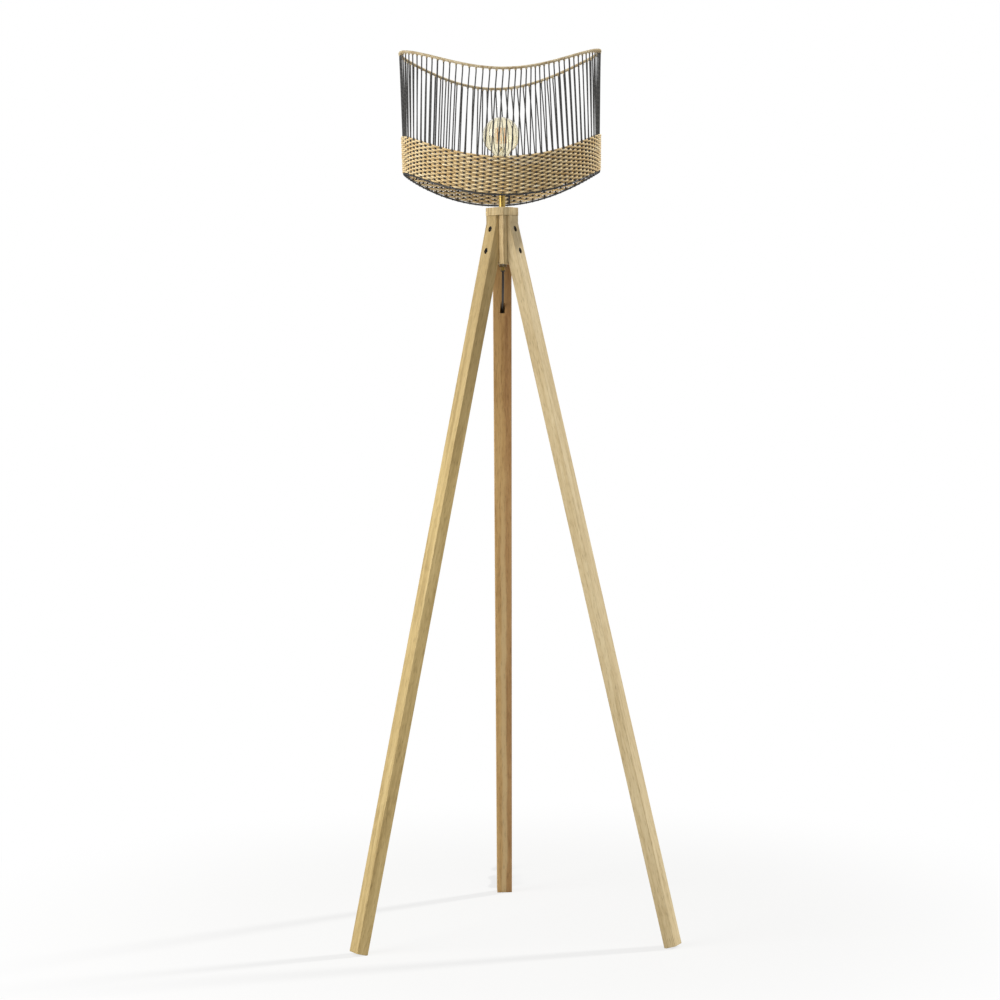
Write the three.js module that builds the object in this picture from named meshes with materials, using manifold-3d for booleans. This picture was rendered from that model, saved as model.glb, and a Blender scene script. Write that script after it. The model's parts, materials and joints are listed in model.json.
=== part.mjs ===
// Tripod floor lamp: three wooden legs on a wooden hub, an upright lamp pipe, a screw lampholder with
// a globe bulb, and an open shade of black cord drops with a woven rattan band, on a wire frame with a
// saddle-shaped rim.
// Millimetres, +Z up. The front of the lamp faces -Y.
import * as THREE from "three";
import { mergeVertices } from "three/addons/utils/BufferGeometryUtils.js";
import Module from "manifold-3d";

// Clearance between pieces that touch, and how far a cutting shape runs past the face that it cuts
const FIT = 0.3;
const OVERRUN = 6;

// Legs: flat bars whose inner faces aim at the lamp axis at the height of the leg tops
const LEG_TOP = 1261;
const LEG_SPREAD = 301;
const LEG_THICKNESS = 21.4;
const LEG_TOP_WIDTH = 32.8;
const LEG_FOOT_WIDTH = 27.7;
const LEG_SHOULDER = 13;
const LEG_TOP_REACH = 23;
const FOOT_LAND = 4;
const LEG_TURNS = { left: 210, right: 330, rear: 90 };

// Hub: a core with three seats for the legs and a ridge between each two, and a wider cap over the
// leg tops that has the same ridges
const SEAT_REACH = 17.6;
const CORE_SEAT_WIDTH = 33;
const CORE_HEIGHT = 84;
const CAP_REACH = 23;
const CAP_SIDE_WIDTH = 34;
const CAP_HEIGHT = 14;
const HUB_RIDGE = 31;

// Leg bolts, two for each leg, with button heads sunk in the slanted face
const BOLT_DEPTHS = [23, 61];
const BOLT_RADIUS = 2.5;
const BOLT_BITE = 9;
const BOLT_HEAD_RADIUS = 4.85;
const BOLT_HEAD_HEIGHT = 3;
const BOLT_HEAD_RECESS = 1.4;
const BOLT_SOCKET_RADIUS = 2.2;
const BOLT_SOCKET_DEPTH = 1.6;

// Lamp pipe through the hub, with its sleeve above the hub and its nut below
const PIPE_RADIUS = 3.9;
const PIPE_BORE = 2.7;
const PIPE_END = 6;
const PIPE_ENGAGEMENT = 6;
const SLEEVE_RADIUS = 5.7;
const SLEEVE_LENGTH = 27;
const WASHER_RADIUS = 7;
const WASHER_THICKNESS = 1;
const NUT_RADIUS = 7.2;
const NUT_HEIGHT = 3.2;
const BUSH_RADIUS = 4.1;
const BUSH_THICKNESS = 1.5;

// Lampholder: cup, body with a shoulder, insulating core, screw shell and contact
const CUP_NECK_RADIUS = 8;
const CUP_NECK_HEIGHT = 4;
const CUP_HEIGHT = 17;
const CUP_WALL = 1.5;
const CUP_LIP = 3;
const HOLDER_RADIUS = 19.5;
const HOLDER_WALL = 2.2;
const HOLDER_HEIGHT = 36;
const SHOULDER_RADIUS = 23;
const SHOULDER_THICKNESS = 2;
const SHOULDER_HEIGHT = 14;
const CORE_BODY_HEIGHT = 30;
const CORE_FLOOR = 9;
const SHELL_WALL = 0.6;
const SHELL_HEIGHT = 21.5;
const SHELL_HOLE = 6;
const CONTACT_RADIUS = 3.5;
const CONTACT_HEIGHT = 2.8;
const RING_NUT_RADIUS = 26;
const RING_NUT_HEIGHT = 7;

// Turn switch on the lampholder's side
const SWITCH_HEIGHT = 6;
const SPINDLE_RADIUS = 1.8;
const SPINDLE_DEPTH = 6;
const KNOB_RADIUS = 5;
const KNOB_LENGTH = 12;
const KNOB_BORE_DEPTH = 8;

// Globe bulb
const BULB_CAP_RADIUS = 13.1;
const BULB_CAP_WALL = 0.4;
const BULB_CAP_HEIGHT = 22;
const BULB_TIP_RADIUS = 4.5;
const BULB_TIP_HEIGHT = 2;
const BULB_SEAL_HEIGHT = 2.6;
const BULB_SEAL_RADIUS = 10;
const GLOBE_RADIUS = 32.5;
const GLASS_WALL = 1;
const GLOBE_RISE = 62.2;
const NECK_INSET = 14;
const STEM_FLARE_HEIGHT = 9;
const STEM_RADIUS = 3;
const STEM_HEIGHT = 34;
const HOLDER_WIRE_RADIUS = 0.8;
const FILAMENT_HOLDER_DISC = 0.6;
const FILAMENT_CIRCLE = 9;
const FILAMENT_LENGTH = 26;
const FILAMENT_RADIUS = 0.5;
const FILAMENT_DROPS = 8;

// Shade: both rings are saddles, high at the two sides and low at front and back, and the rim's bulges
// a little between those. Its radius is that of the woven band's outer face at the bottom, and the wall
// flares upwards
const SHADE_RADIUS = 172.8;
const SHADE_FLARE = 4.5;
const SHADE_RISE = 207.6;
const SADDLE_DIP = 47.5;
const RIM_DIP = 45;
const RIM_BULGE = 4;
const BAND_HEIGHT = 62.7;
const BAND_SKIN = 1.3;
const RING_WIRE_RADIUS = 1.5;
const RIM_WRAP_WALL = 0.7;
const RIM_WRAP_SKIRT = 2.8;
const WALL_SLOT_HALF = 2.1;
const DROP_RADIUS = 1.1;
const STRUT_RADIUS = 1.4;
const DROPS_PER_QUARTER = 22;
const DROP_SLANT = 7;
const SLANT_TURN = 22;
const SLANT_TWIST = 12;
const SLANT_EASE = 0.7;

// Spider that carries the shade on the lampholder
const SPIDER_PLATE_RADIUS = 30;
const SPIDER_PLATE_THICKNESS = 2;
const SPIDER_ARM_RADIUS = 1.6;
const SPIDER_WELD = 3;
const SPIDER_BEND = 9;
const SPIDER_TURN = -7;

// Cord, its clips on the rear leg, and its slot through that leg
const CORD_RADIUS = 2;
const SLOT_WIDTH = 8.7;
const SLOT_HEIGHT = 12;
const SLOT_DEPTH_BELOW_TOP = 158.5;
const SLOT_SLOPE = 36;
const CLIP_HEIGHTS = [1000, 560, 120];
const CLIP_LENGTH = 8;
const CLIP_WALL = 1.3;
const CLIP_BOSS_WIDTH = 6;
const CLIP_BOSS_HEIGHT = 3.6;
const NAIL_RADIUS = 0.8;
const NAIL_HEAD_RADIUS = 1.7;
const NAIL_HEAD_HEIGHT = 0.8;
const NAIL_BITE = 8;

// Hank of cord on the floor behind the rear foot, with its tie, and the plug with its tapered strain relief
const HANK_START = 362;
const HANK_ASIDE = 2.4;
const HANK_LENGTH = 80;
const HANK_HALF_WIDTH = 12;
const HANK_WAIST_HALF = 2.6;
const HANK_WAIST_REACH = 32;
const HANK_LAYER_STEP = 4.5;
const HANK_REST = 2.3;
const HANK_LOOPS = 3.5;
const HANK_HEADING = 2.3;
const TIE_WIDTH = 9;
const TIE_THICKNESS = 1;
const PLUG_GAP = 38;
const LEAD_SHARE = 0.14;
const RELIEF_LENGTH = 20;
const RELIEF_TIP_RADIUS = 2.9;
const RELIEF_ROOT_RADIUS = 4.3;
const PLUG_WIDTH = 24;
const PLUG_HEIGHT = 15;
const PLUG_LENGTH = 30;
const PLUG_NECK_WIDTH = 11;
const PLUG_NECK_LENGTH = 8;
const BLADE_THICKNESS = 1.5;
const BLADE_HEIGHT = 6.4;
const BLADE_LENGTH = 17;
const BLADE_SPACING = 12.7;
const BLADE_ROOT = 8;

// Smoothness: sides of round pieces and of wires, steps along bent pieces, and steps of a half turn in
// the hank
const ROUND_SIDES = 24;
const SMALL_SIDES = 12;
const WIRE_SIDES = 8;
const DROP_SIDES = 6;
const HEX_SIDES = 6;
const GLOBE_STEPS = 10;
const RIM_STEPS = 6;
const ARM_STEPS = 30;
const CORD_DROP_STEPS = 22;
const CORD_RUN_STEPS = 4;
const CORD_TAIL_STEPS = 16;
const CORD_LEAD_STEPS = 10;
const TURN_STEPS = 5;

// Points of a run of the hank, as shares of its length: the two in the middle are at the sides of the tie
const RUN_SHARES = [0, 0.15, 0.3, 0.44, 0.56, 0.7, 0.85, 1];

// The shade's wall has four struts, with an equal count of cord drops between them
const QUARTERS = [0, 1, 2, 3];

// Heights worked out from the sizes above, from the hub upwards
const CORE_BOTTOM = LEG_TOP - CORE_HEIGHT;
const CAP_BOTTOM = LEG_TOP + FIT;
const CAP_TOP = CAP_BOTTOM + CAP_HEIGHT;
const SLEEVE_BOTTOM = CAP_TOP + FIT;
const CUP_BOTTOM = SLEEVE_BOTTOM + SLEEVE_LENGTH + FIT;
const HOLDER_BOTTOM = CUP_BOTTOM + CUP_HEIGHT + FIT;
const SHOULDER_TOP = HOLDER_BOTTOM + SHOULDER_HEIGHT;
const SPIDER_MIDDLE = SHOULDER_TOP + FIT + SPIDER_PLATE_THICKNESS / 2;
const RING_NUT_BOTTOM = SPIDER_MIDDLE + SPIDER_PLATE_THICKNESS / 2 + FIT;
const CAVITY_FLOOR = HOLDER_BOTTOM + CORE_FLOOR;
const TIP_BOTTOM = CAVITY_FLOOR + FIT + CONTACT_HEIGHT + FIT;
const SEAL_BOTTOM = TIP_BOTTOM + BULB_TIP_HEIGHT + FIT;
const BULB_CAP_BOTTOM = SEAL_BOTTOM + BULB_SEAL_HEIGHT + FIT;
const GLOBE_CENTRE = BULB_CAP_BOTTOM + GLOBE_RISE;
const GLASS_BOTTOM = BULB_CAP_BOTTOM + BULB_CAP_HEIGHT - NECK_INSET;
const BOTTOM_RING_HEIGHT = SPIDER_MIDDLE;
const TOP_RING_HEIGHT = BOTTOM_RING_HEIGHT + SHADE_RISE;

// Heights from the hub downwards
const WASHER_BOTTOM = CORE_BOTTOM - FIT - WASHER_THICKNESS;
const NUT_BOTTOM = WASHER_BOTTOM - FIT - NUT_HEIGHT;
const PIPE_BOTTOM = NUT_BOTTOM - PIPE_END;
const BUSH_BOTTOM = PIPE_BOTTOM - FIT - BUSH_THICKNESS;
const PIPE_TOP = CUP_BOTTOM + PIPE_ENGAGEMENT;

// Radii of the shade's wall
const RIM_RADIUS = RING_WIRE_RADIUS + FIT + RIM_WRAP_WALL;
const WALL_RADIUS = SHADE_RADIUS - WALL_SLOT_HALF - BAND_SKIN;
const RIM_WALL_RADIUS = WALL_RADIUS + SHADE_FLARE;
const WARPS = QUARTERS.length * (DROPS_PER_QUARTER + 1);
const WALL_STEPS = WARPS / 2;
const CHORD_SAG = WALL_RADIUS * (1 - Math.cos(Math.PI / WALL_STEPS));

// Leg outline: lean, outer foot corner and the slope of the outer face
const LEAN = Math.atan2(LEG_SPREAD, LEG_TOP);
const FOOT_REACH = LEG_SPREAD + LEG_THICKNESS * Math.cos(LEAN);
const FOOT_RISE = LEG_THICKNESS * Math.sin(LEAN);
const SHOULDER_END = LEG_TOP - LEG_SHOULDER;
const OUTER_SLOPE = (FOOT_REACH - LEG_TOP_REACH) / (SHOULDER_END - FOOT_RISE);
const OUTER_LEAN = Math.atan(OUTER_SLOPE);
const outerReach = (height) => LEG_TOP_REACH + Math.max(0, SHOULDER_END - height) * OUTER_SLOPE;

// The lamp axis stands forward of the origin, which is the middle of the lamp's footprint on the floor
const FRONT_REACH = Math.max(
  RIM_WALL_RADIUS + RIM_RADIUS,
  FOOT_REACH * Math.cos(Math.PI / 3) + (LEG_FOOT_WIDTH / 2) * Math.sin(Math.PI / 3),
);
const AXIS_Y = (FRONT_REACH - FOOT_REACH) / 2;

const WOOD = { color: 0x9a7b5e, roughness: 0.6, metalness: 0 };
const RATTAN = { color: 0xcdb592, roughness: 0.85, metalness: 0 };
const BLACK_CORD = { color: 0x1b1a1a, roughness: 0.9, metalness: 0 };
const BLACK_METAL = { color: 0x1d1c1c, roughness: 0.45, metalness: 0.6 };
const BRASS = { color: 0xb8934e, roughness: 0.35, metalness: 1 };
const STEEL = { color: 0xa9a9a8, roughness: 0.35, metalness: 1 };
const BLACK_PLASTIC = { color: 0x202022, roughness: 0.5, metalness: 0 };
const CERAMIC = { color: 0xe9e6df, roughness: 0.3, metalness: 0 };
const GLASS = { color: 0xe8c890, roughness: 0.05, metalness: 0, transparent: true, opacity: 0.35 };
const FILAMENT = { color: 0xff8a2b, roughness: 0.5, metalness: 0 };

const wasm = await Module();
wasm.setup();

const degrees = THREE.MathUtils.degToRad;

// A closed geometry as a manifold solid, and back
function solidOf(geometry) {
  const plain = geometry.index ? geometry.toNonIndexed() : geometry.clone();
  plain.deleteAttribute("normal");
  plain.deleteAttribute("uv");
  const merged = mergeVertices(plain);
  return new wasm.Manifold(
    new wasm.Mesh({
      numProp: 3,
      vertProperties: merged.attributes.position.array,
      triVerts: new Uint32Array(merged.index.array),
    }),
  );
}

function geometryOf(solid) {
  const mesh = solid.getMesh();
  const geometry = new THREE.BufferGeometry();
  geometry.setAttribute("position", new THREE.BufferAttribute(mesh.vertProperties, 3));
  geometry.setIndex(new THREE.BufferAttribute(mesh.triVerts, 1));
  const flat = geometry.toNonIndexed();
  flat.computeVertexNormals();
  return flat;
}

function cut(geometry, tools) {
  const made = tools.reduce((solid, tool) => solid.subtract(solidOf(tool)), solidOf(geometry));
  return geometryOf(made);
}

function join(geometries) {
  const solids = geometries.map(solidOf);
  return geometryOf(solids.reduce((made, solid) => made.add(solid)));
}

// Turned piece about Z: profile points are [radius, height], up the outside first. Its last column of
// vertices takes the first one's places, so that the seam closes exactly
function turned(profile, sides = ROUND_SIDES) {
  const points = profile.map(([radius, height]) => new THREE.Vector2(radius, height));
  const made = new THREE.LatheGeometry(points, sides);
  const places = made.attributes.position;
  for (let i = 0; i < points.length; i += 1) {
    places.setXYZ(sides * points.length + i, places.getX(i), places.getY(i), places.getZ(i));
  }
  return made.rotateX(Math.PI / 2);
}

function disc(radius, bottom, top, sides = ROUND_SIDES) {
  return turned([[0, bottom], [radius, bottom], [radius, top], [0, top]], sides);
}

function sleeve(outer, inner, bottom, top, sides = ROUND_SIDES) {
  return turned([[inner, bottom], [outer, bottom], [outer, top], [inner, top], [inner, bottom]], sides);
}

// Round bar along +X from one reach to another, at a height
function radialBar(radius, from, to, height, sides = SMALL_SIDES) {
  return disc(radius, from, to, sides).rotateY(Math.PI / 2).translate(0, 0, height);
}

// Box from a low corner to a high corner
function block(low, high) {
  const size = high.map((value, axis) => value - low[axis]);
  const middle = high.map((value, axis) => (value + low[axis]) / 2);
  return new THREE.BoxGeometry(...size).translate(...middle);
}

// Polygon prism along Z from points [x, y]
function prism(points, bottom, top) {
  const outline = new THREE.Shape(points.map(([x, y]) => new THREE.Vector2(x, y)));
  const made = new THREE.ExtrudeGeometry(outline, { depth: top - bottom, bevelEnabled: false });
  return made.translate(0, 0, bottom);
}

// Round bar bent along a smooth curve through points
function bentBar(points, radius, steps, sides = WIRE_SIDES) {
  const section = new THREE.Shape();
  for (let i = 0; i < sides; i += 1) {
    const angle = (2 * Math.PI * (i + 0.5)) / sides;
    const x = radius * Math.cos(angle);
    const y = radius * Math.sin(angle);
    if (i === 0) section.moveTo(x, y);
    else section.lineTo(x, y);
  }
  const path = new THREE.CatmullRomCurve3(points, false, "centripetal");
  return new THREE.ExtrudeGeometry(section, { steps, extrudePath: path, bevelEnabled: false });
}

// Skin over rings of vertices that all have the same count: closed in a loop, or with flat ends
function skin(rings, closed) {
  const sides = rings[0].length;
  const positions = rings.flat().flatMap((point) => [point.x, point.y, point.z]);
  const faces = [];
  const last = closed ? rings.length : rings.length - 1;
  for (let i = 0; i < last; i += 1) {
    const here = i * sides;
    const next = ((i + 1) % rings.length) * sides;
    for (let k = 0; k < sides; k += 1) {
      const other = (k + 1) % sides;
      faces.push(here + k, here + other, next + other, here + k, next + other, next + k);
    }
  }
  if (!closed) {
    const end = (rings.length - 1) * sides;
    for (let k = 1; k < sides - 1; k += 1) {
      faces.push(0, k + 1, k, end, end + k, end + k + 1);
    }
  }
  const geometry = new THREE.BufferGeometry();
  geometry.setAttribute("position", new THREE.Float32BufferAttribute(positions, 3));
  geometry.setIndex(faces);
  const flat = geometry.toNonIndexed();
  flat.computeVertexNormals();
  return flat;
}

// Wire through corner points, mitred at each corner. outward gives the side direction that every
// section keeps
function wireThrough(points, outward, radius, sides) {
  const rings = points.map((point, i) => {
    const before = i > 0 ? point.clone().sub(points[i - 1]).normalize() : null;
    const after = i < points.length - 1 ? points[i + 1].clone().sub(point).normalize() : null;
    const along = new THREE.Vector3().addVectors(before ?? after, after ?? before);
    const stretch = 2 / along.length();
    along.normalize();
    const out = outward(point);
    const side = new THREE.Vector3().crossVectors(along, out).normalize();
    const square = new THREE.Vector3().crossVectors(side, along);
    return Array.from({ length: sides }, (_, k) => {
      const angle = (2 * Math.PI * (k + 0.5)) / sides;
      return point
        .clone()
        .addScaledVector(square, radius * Math.cos(angle))
        .addScaledVector(side, stretch * radius * Math.sin(angle));
    });
  });
  return skin(rings, false);
}

// The saddles of the bottom ring and of the rim: drop below the side height at an angle from +X,
// deepest at front and back
const dipAt = (angle) => SADDLE_DIP * Math.sin(angle) ** 2;
const rimDipAt = (angle) => RIM_DIP * Math.sin(angle) ** 2 - RIM_BULGE * Math.sin(2 * angle) ** 2;

function wallPoint(angle, radius, height, dip = dipAt) {
  return new THREE.Vector3(radius * Math.cos(angle), radius * Math.sin(angle), height - dip(angle));
}

// Point of the wall at the rim, at a height below the top ring's middle
function rimPoint(angle, below) {
  return wallPoint(angle, RIM_WALL_RADIUS, TOP_RING_HEIGHT - below, rimDipAt);
}

const warpAngle = (index) => Math.PI / 4 + (2 * Math.PI * index) / WARPS;

// The drops fan out downwards: at the rim each is nearer to the middle of the front or back than at
// the bottom ring. The places where they hang straight are turned further at the front than at the back
function rimAngle(angle) {
  const side = Math.sin(2 * angle - degrees(SLANT_TURN - SLANT_TWIST * Math.sin(angle)));
  return angle + (degrees(DROP_SLANT) * side) / Math.hypot(side, SLANT_EASE);
}

// Ring in the shade's wall: section points are [out from the radius, up from the height]
function wallRing(section, radius, height, dip = dipAt) {
  const rings = Array.from({ length: WALL_STEPS }, (_, i) =>
    section.map(([out, up]) => wallPoint(warpAngle(2 * i), radius + out, height + up, dip)),
  );
  return skin(rings, true);
}

function roundSection(radius, sides) {
  return Array.from({ length: sides }, (_, k) => {
    const angle = (2 * Math.PI * (k + 0.5)) / sides;
    return [radius * Math.cos(angle), -radius * Math.sin(angle)];
  });
}

// Parts list and placing
const lamp = new THREE.Group();
lamp.position.y = AXIS_Y;

function place(name, geometry, look, parent = lamp) {
  const mesh = new THREE.Mesh(geometry, new THREE.MeshStandardMaterial(look));
  mesh.name = name;
  parent.add(mesh);
  return mesh;
}

// Leg, built along +X: a side outline stretched sideways, narrower towards the foot
function legBlank() {
  const seat = SEAT_REACH + FIT;
  const seatEnd = ((LEG_SPREAD - seat) / LEG_SPREAD) * LEG_TOP;
  const outline = [
    [seat, LEG_TOP],
    [LEG_TOP_REACH, LEG_TOP],
    [LEG_TOP_REACH, SHOULDER_END],
    [FOOT_REACH, FOOT_RISE],
    [LEG_SPREAD + FOOT_LAND, 0],
    [LEG_SPREAD, 0],
    [seat, seatEnd],
  ];
  const blank = prism(outline, -1, 1).rotateX(Math.PI / 2);
  const places = blank.attributes.position;
  for (let i = 0; i < places.count; i += 1) {
    const down = (LEG_TOP - places.getZ(i)) / LEG_TOP;
    const width = LEG_TOP_WIDTH + (LEG_FOOT_WIDTH - LEG_TOP_WIDTH) * down;
    places.setY(i, (Math.sign(places.getY(i)) * width) / 2);
  }
  return blank;
}

const boltHeadOutside = (height) => outerReach(height) - BOLT_HEAD_RECESS;
const boltHeadInside = (height) => boltHeadOutside(height) - BOLT_HEAD_HEIGHT;
const BOLT_TIP = SEAT_REACH - BOLT_BITE;

function boltHoles() {
  return BOLT_DEPTHS.flatMap((depth) => {
    const height = LEG_TOP - depth;
    const inside = boltHeadInside(height) - FIT;
    return [
      radialBar(BOLT_RADIUS + FIT, BOLT_TIP - FIT, inside + OVERRUN, height),
      radialBar(BOLT_HEAD_RADIUS + FIT, inside, outerReach(height) + OVERRUN, height, ROUND_SIDES),
    ];
  });
}

function bolt(height) {
  const inside = boltHeadInside(height);
  const outside = boltHeadOutside(height);
  const body = turned([
    [0, BOLT_TIP],
    [BOLT_RADIUS, BOLT_TIP],
    [BOLT_RADIUS, inside],
    [BOLT_HEAD_RADIUS, inside],
    [BOLT_HEAD_RADIUS, outside],
    [0, outside],
  ], SMALL_SIDES);
  const socket = disc(BOLT_SOCKET_RADIUS, outside - BOLT_SOCKET_DEPTH, outside + OVERRUN, HEX_SIDES);
  return cut(body, [socket]).rotateY(Math.PI / 2).translate(0, 0, height);
}

// Slot through the rear leg, sloping down and out
function cordSlot() {
  const height = LEG_TOP - SLOT_DEPTH_BELOW_TOP;
  const reach = outerReach(height) - LEG_THICKNESS / Math.cos(LEAN) / 2;
  const half = LEG_THICKNESS + OVERRUN;
  const box = block([-half, -SLOT_WIDTH / 2, -SLOT_HEIGHT / 2], [half, SLOT_WIDTH / 2, SLOT_HEIGHT / 2]);
  const drop = (LEG_THICKNESS / 2) * Math.tan(degrees(SLOT_SLOPE));
  return box.rotateY(degrees(SLOT_SLOPE)).translate(reach, 0, height - drop);
}

// Turns a piece built flat on the XY plane (X across the leg, Y up the leg, Z out of it) onto the rear
// leg's outer face, in the leg's own frame
function ontoLegFace(geometry, height) {
  const out = new THREE.Vector3(Math.cos(OUTER_LEAN), 0, Math.sin(OUTER_LEAN));
  const up = new THREE.Vector3(-Math.sin(OUTER_LEAN), 0, Math.cos(OUTER_LEAN));
  const across = new THREE.Vector3().crossVectors(up, out);
  const turn = new THREE.Matrix4().makeBasis(across, up, out);
  turn.setPosition(outerReach(height), 0, height);
  return geometry.applyMatrix4(turn);
}

const CORD_OFFSET = CORD_RADIUS + FIT;
const CLIP_BORE = CORD_RADIUS + FIT;
const NAIL_ACROSS = CLIP_BORE + CLIP_BOSS_WIDTH / 2;

function clipOutline() {
  const outer = CLIP_BORE + CLIP_WALL;
  const outline = new THREE.Shape();
  outline.moveTo(-outer, FIT);
  outline.lineTo(-outer, CORD_OFFSET);
  outline.absarc(0, CORD_OFFSET, outer, Math.PI, Math.asin((CLIP_BOSS_HEIGHT - CORD_OFFSET) / outer), true);
  outline.lineTo(CLIP_BORE + CLIP_BOSS_WIDTH, CLIP_BOSS_HEIGHT);
  outline.lineTo(CLIP_BORE + CLIP_BOSS_WIDTH, FIT);
  outline.lineTo(CLIP_BORE, FIT);
  outline.lineTo(CLIP_BORE, CORD_OFFSET);
  outline.absarc(0, CORD_OFFSET, CLIP_BORE, 0, Math.PI, false);
  outline.lineTo(-CLIP_BORE, FIT);
  return outline;
}

function clip(height) {
  const made = new THREE.ExtrudeGeometry(clipOutline(), {
    depth: CLIP_LENGTH,
    bevelEnabled: false,
    curveSegments: SMALL_SIDES / 2,
  });
  made.translate(0, 0, -CLIP_LENGTH / 2).rotateX(Math.PI / 2);
  const hole = disc(NAIL_RADIUS + FIT, -OVERRUN, OVERRUN, WIRE_SIDES).translate(NAIL_ACROSS, 0, 0);
  return ontoLegFace(cut(made, [hole]), height);
}

function nail(height) {
  const headBottom = CLIP_BOSS_HEIGHT + FIT;
  const made = turned([
    [0, -NAIL_BITE],
    [NAIL_RADIUS, -NAIL_BITE],
    [NAIL_RADIUS, headBottom],
    [NAIL_HEAD_RADIUS, headBottom],
    [NAIL_HEAD_RADIUS, headBottom + NAIL_HEAD_HEIGHT],
    [0, headBottom + NAIL_HEAD_HEIGHT],
  ], WIRE_SIDES);
  return ontoLegFace(made.translate(NAIL_ACROSS, 0, 0), height);
}

function nailHole(height) {
  const hole = disc(NAIL_RADIUS + FIT, -NAIL_BITE - FIT, OVERRUN, WIRE_SIDES);
  return ontoLegFace(hole.translate(NAIL_ACROSS, 0, 0), height);
}

function addLegs() {
  for (const [side, turn] of Object.entries(LEG_TURNS)) {
    const group = new THREE.Group();
    group.rotation.z = degrees(turn);
    lamp.add(group);
    const cuts = boltHoles();
    if (side === "rear") cuts.push(cordSlot(), ...CLIP_HEIGHTS.map(nailHole));
    place("leg_" + side, cut(legBlank(), cuts), WOOD, group);
    BOLT_DEPTHS.forEach((depth, i) => {
      const rank = i === 0 ? "upper" : "lower";
      place("leg_bolt_" + side + "_" + rank, bolt(LEG_TOP - depth), BLACK_METAL, group);
    });
    if (side !== "rear") continue;
    CLIP_HEIGHTS.forEach((height, i) => {
      place("cord_clip_" + (i + 1), clip(height), BLACK_PLASTIC, group);
      place("clip_nail_" + (i + 1), nail(height), STEEL, group);
    });
  }
}

// Nine-sided outline with three long sides that face the legs and a ridge between each two of them
function hubOutline(reach, width) {
  return Object.values(LEG_TURNS)
    .sort((a, b) => a - b)
    .flatMap((turn) => {
      const angle = degrees(turn);
      const seat = [-width / 2, width / 2].map((aside) => [
        reach * Math.cos(angle) - aside * Math.sin(angle),
        reach * Math.sin(angle) + aside * Math.cos(angle),
      ]);
      const ridge = angle + Math.PI / 3;
      return [...seat, [HUB_RIDGE * Math.cos(ridge), HUB_RIDGE * Math.sin(ridge)]];
    });
}

function addHub() {
  const pipeHole = disc(PIPE_RADIUS + FIT, CORE_BOTTOM - OVERRUN, CAP_TOP + OVERRUN, SMALL_SIDES);
  const boltHolesInCore = Object.values(LEG_TURNS).flatMap((turn) =>
    BOLT_DEPTHS.map((depth) => {
      const hole = radialBar(BOLT_RADIUS + FIT, BOLT_TIP - FIT, SEAT_REACH + OVERRUN, LEG_TOP - depth);
      return hole.rotateZ(degrees(turn));
    }),
  );
  const core = prism(hubOutline(SEAT_REACH, CORE_SEAT_WIDTH), CORE_BOTTOM, LEG_TOP);
  place("hub_core", cut(core, [pipeHole, ...boltHolesInCore]), WOOD);
  const cap = prism(hubOutline(CAP_REACH, CAP_SIDE_WIDTH), CAP_BOTTOM, CAP_TOP);
  place("hub_cap", cut(cap, [pipeHole]), WOOD);
}

function addPipe() {
  place("lamp_pipe", sleeve(PIPE_RADIUS, PIPE_BORE, PIPE_BOTTOM, PIPE_TOP, SMALL_SIDES), BRASS);
  const sleeveTop = SLEEVE_BOTTOM + SLEEVE_LENGTH;
  place("pipe_sleeve", sleeve(SLEEVE_RADIUS, PIPE_RADIUS + FIT, SLEEVE_BOTTOM, sleeveTop), BRASS);
  const bore = PIPE_RADIUS + FIT;
  const washerTop = WASHER_BOTTOM + WASHER_THICKNESS;
  place("pipe_washer", sleeve(WASHER_RADIUS, bore, WASHER_BOTTOM, washerTop, SMALL_SIDES), STEEL);
  const hole = disc(bore, NUT_BOTTOM - OVERRUN, WASHER_BOTTOM + OVERRUN, SMALL_SIDES);
  const nut = disc(NUT_RADIUS, NUT_BOTTOM, NUT_BOTTOM + NUT_HEIGHT, HEX_SIDES);
  place("pipe_nut", cut(nut, [hole]), STEEL);
  const bushTop = BUSH_BOTTOM + BUSH_THICKNESS;
  const bush = sleeve(BUSH_RADIUS, CORD_RADIUS + FIT, BUSH_BOTTOM, bushTop, SMALL_SIDES);
  place("pipe_bush", bush, BLACK_PLASTIC);
}

function lampholderCup() {
  const bore = PIPE_RADIUS + FIT;
  const outside = HOLDER_RADIUS;
  const rimBottom = CUP_HEIGHT - CUP_WALL;
  return turned([
    [bore, CUP_BOTTOM],
    [CUP_NECK_RADIUS, CUP_BOTTOM],
    [CUP_NECK_RADIUS, CUP_BOTTOM + CUP_NECK_HEIGHT],
    [outside, CUP_BOTTOM + rimBottom - CUP_LIP],
    [outside, CUP_BOTTOM + CUP_HEIGHT],
    [outside - CUP_LIP, CUP_BOTTOM + CUP_HEIGHT],
    [outside - CUP_LIP, CUP_BOTTOM + rimBottom],
    [outside - CUP_LIP - CUP_WALL, CUP_BOTTOM + rimBottom - CUP_WALL],
    [CUP_NECK_RADIUS, CUP_BOTTOM + CUP_NECK_HEIGHT + CUP_WALL],
    [bore, CUP_BOTTOM + CUP_NECK_HEIGHT + CUP_WALL],
    [bore, CUP_BOTTOM],
  ]);
}

function lampholderBody() {
  const bore = HOLDER_RADIUS - HOLDER_WALL;
  const top = HOLDER_BOTTOM + HOLDER_HEIGHT;
  const body = turned([
    [bore, HOLDER_BOTTOM],
    [HOLDER_RADIUS, HOLDER_BOTTOM],
    [HOLDER_RADIUS, SHOULDER_TOP - SHOULDER_THICKNESS],
    [SHOULDER_RADIUS, SHOULDER_TOP - SHOULDER_THICKNESS],
    [SHOULDER_RADIUS, SHOULDER_TOP],
    [HOLDER_RADIUS, SHOULDER_TOP],
    [HOLDER_RADIUS, top],
    [bore, top],
    [bore, HOLDER_BOTTOM],
  ]);
  return cut(body, [spindleHole()]);
}

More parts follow.
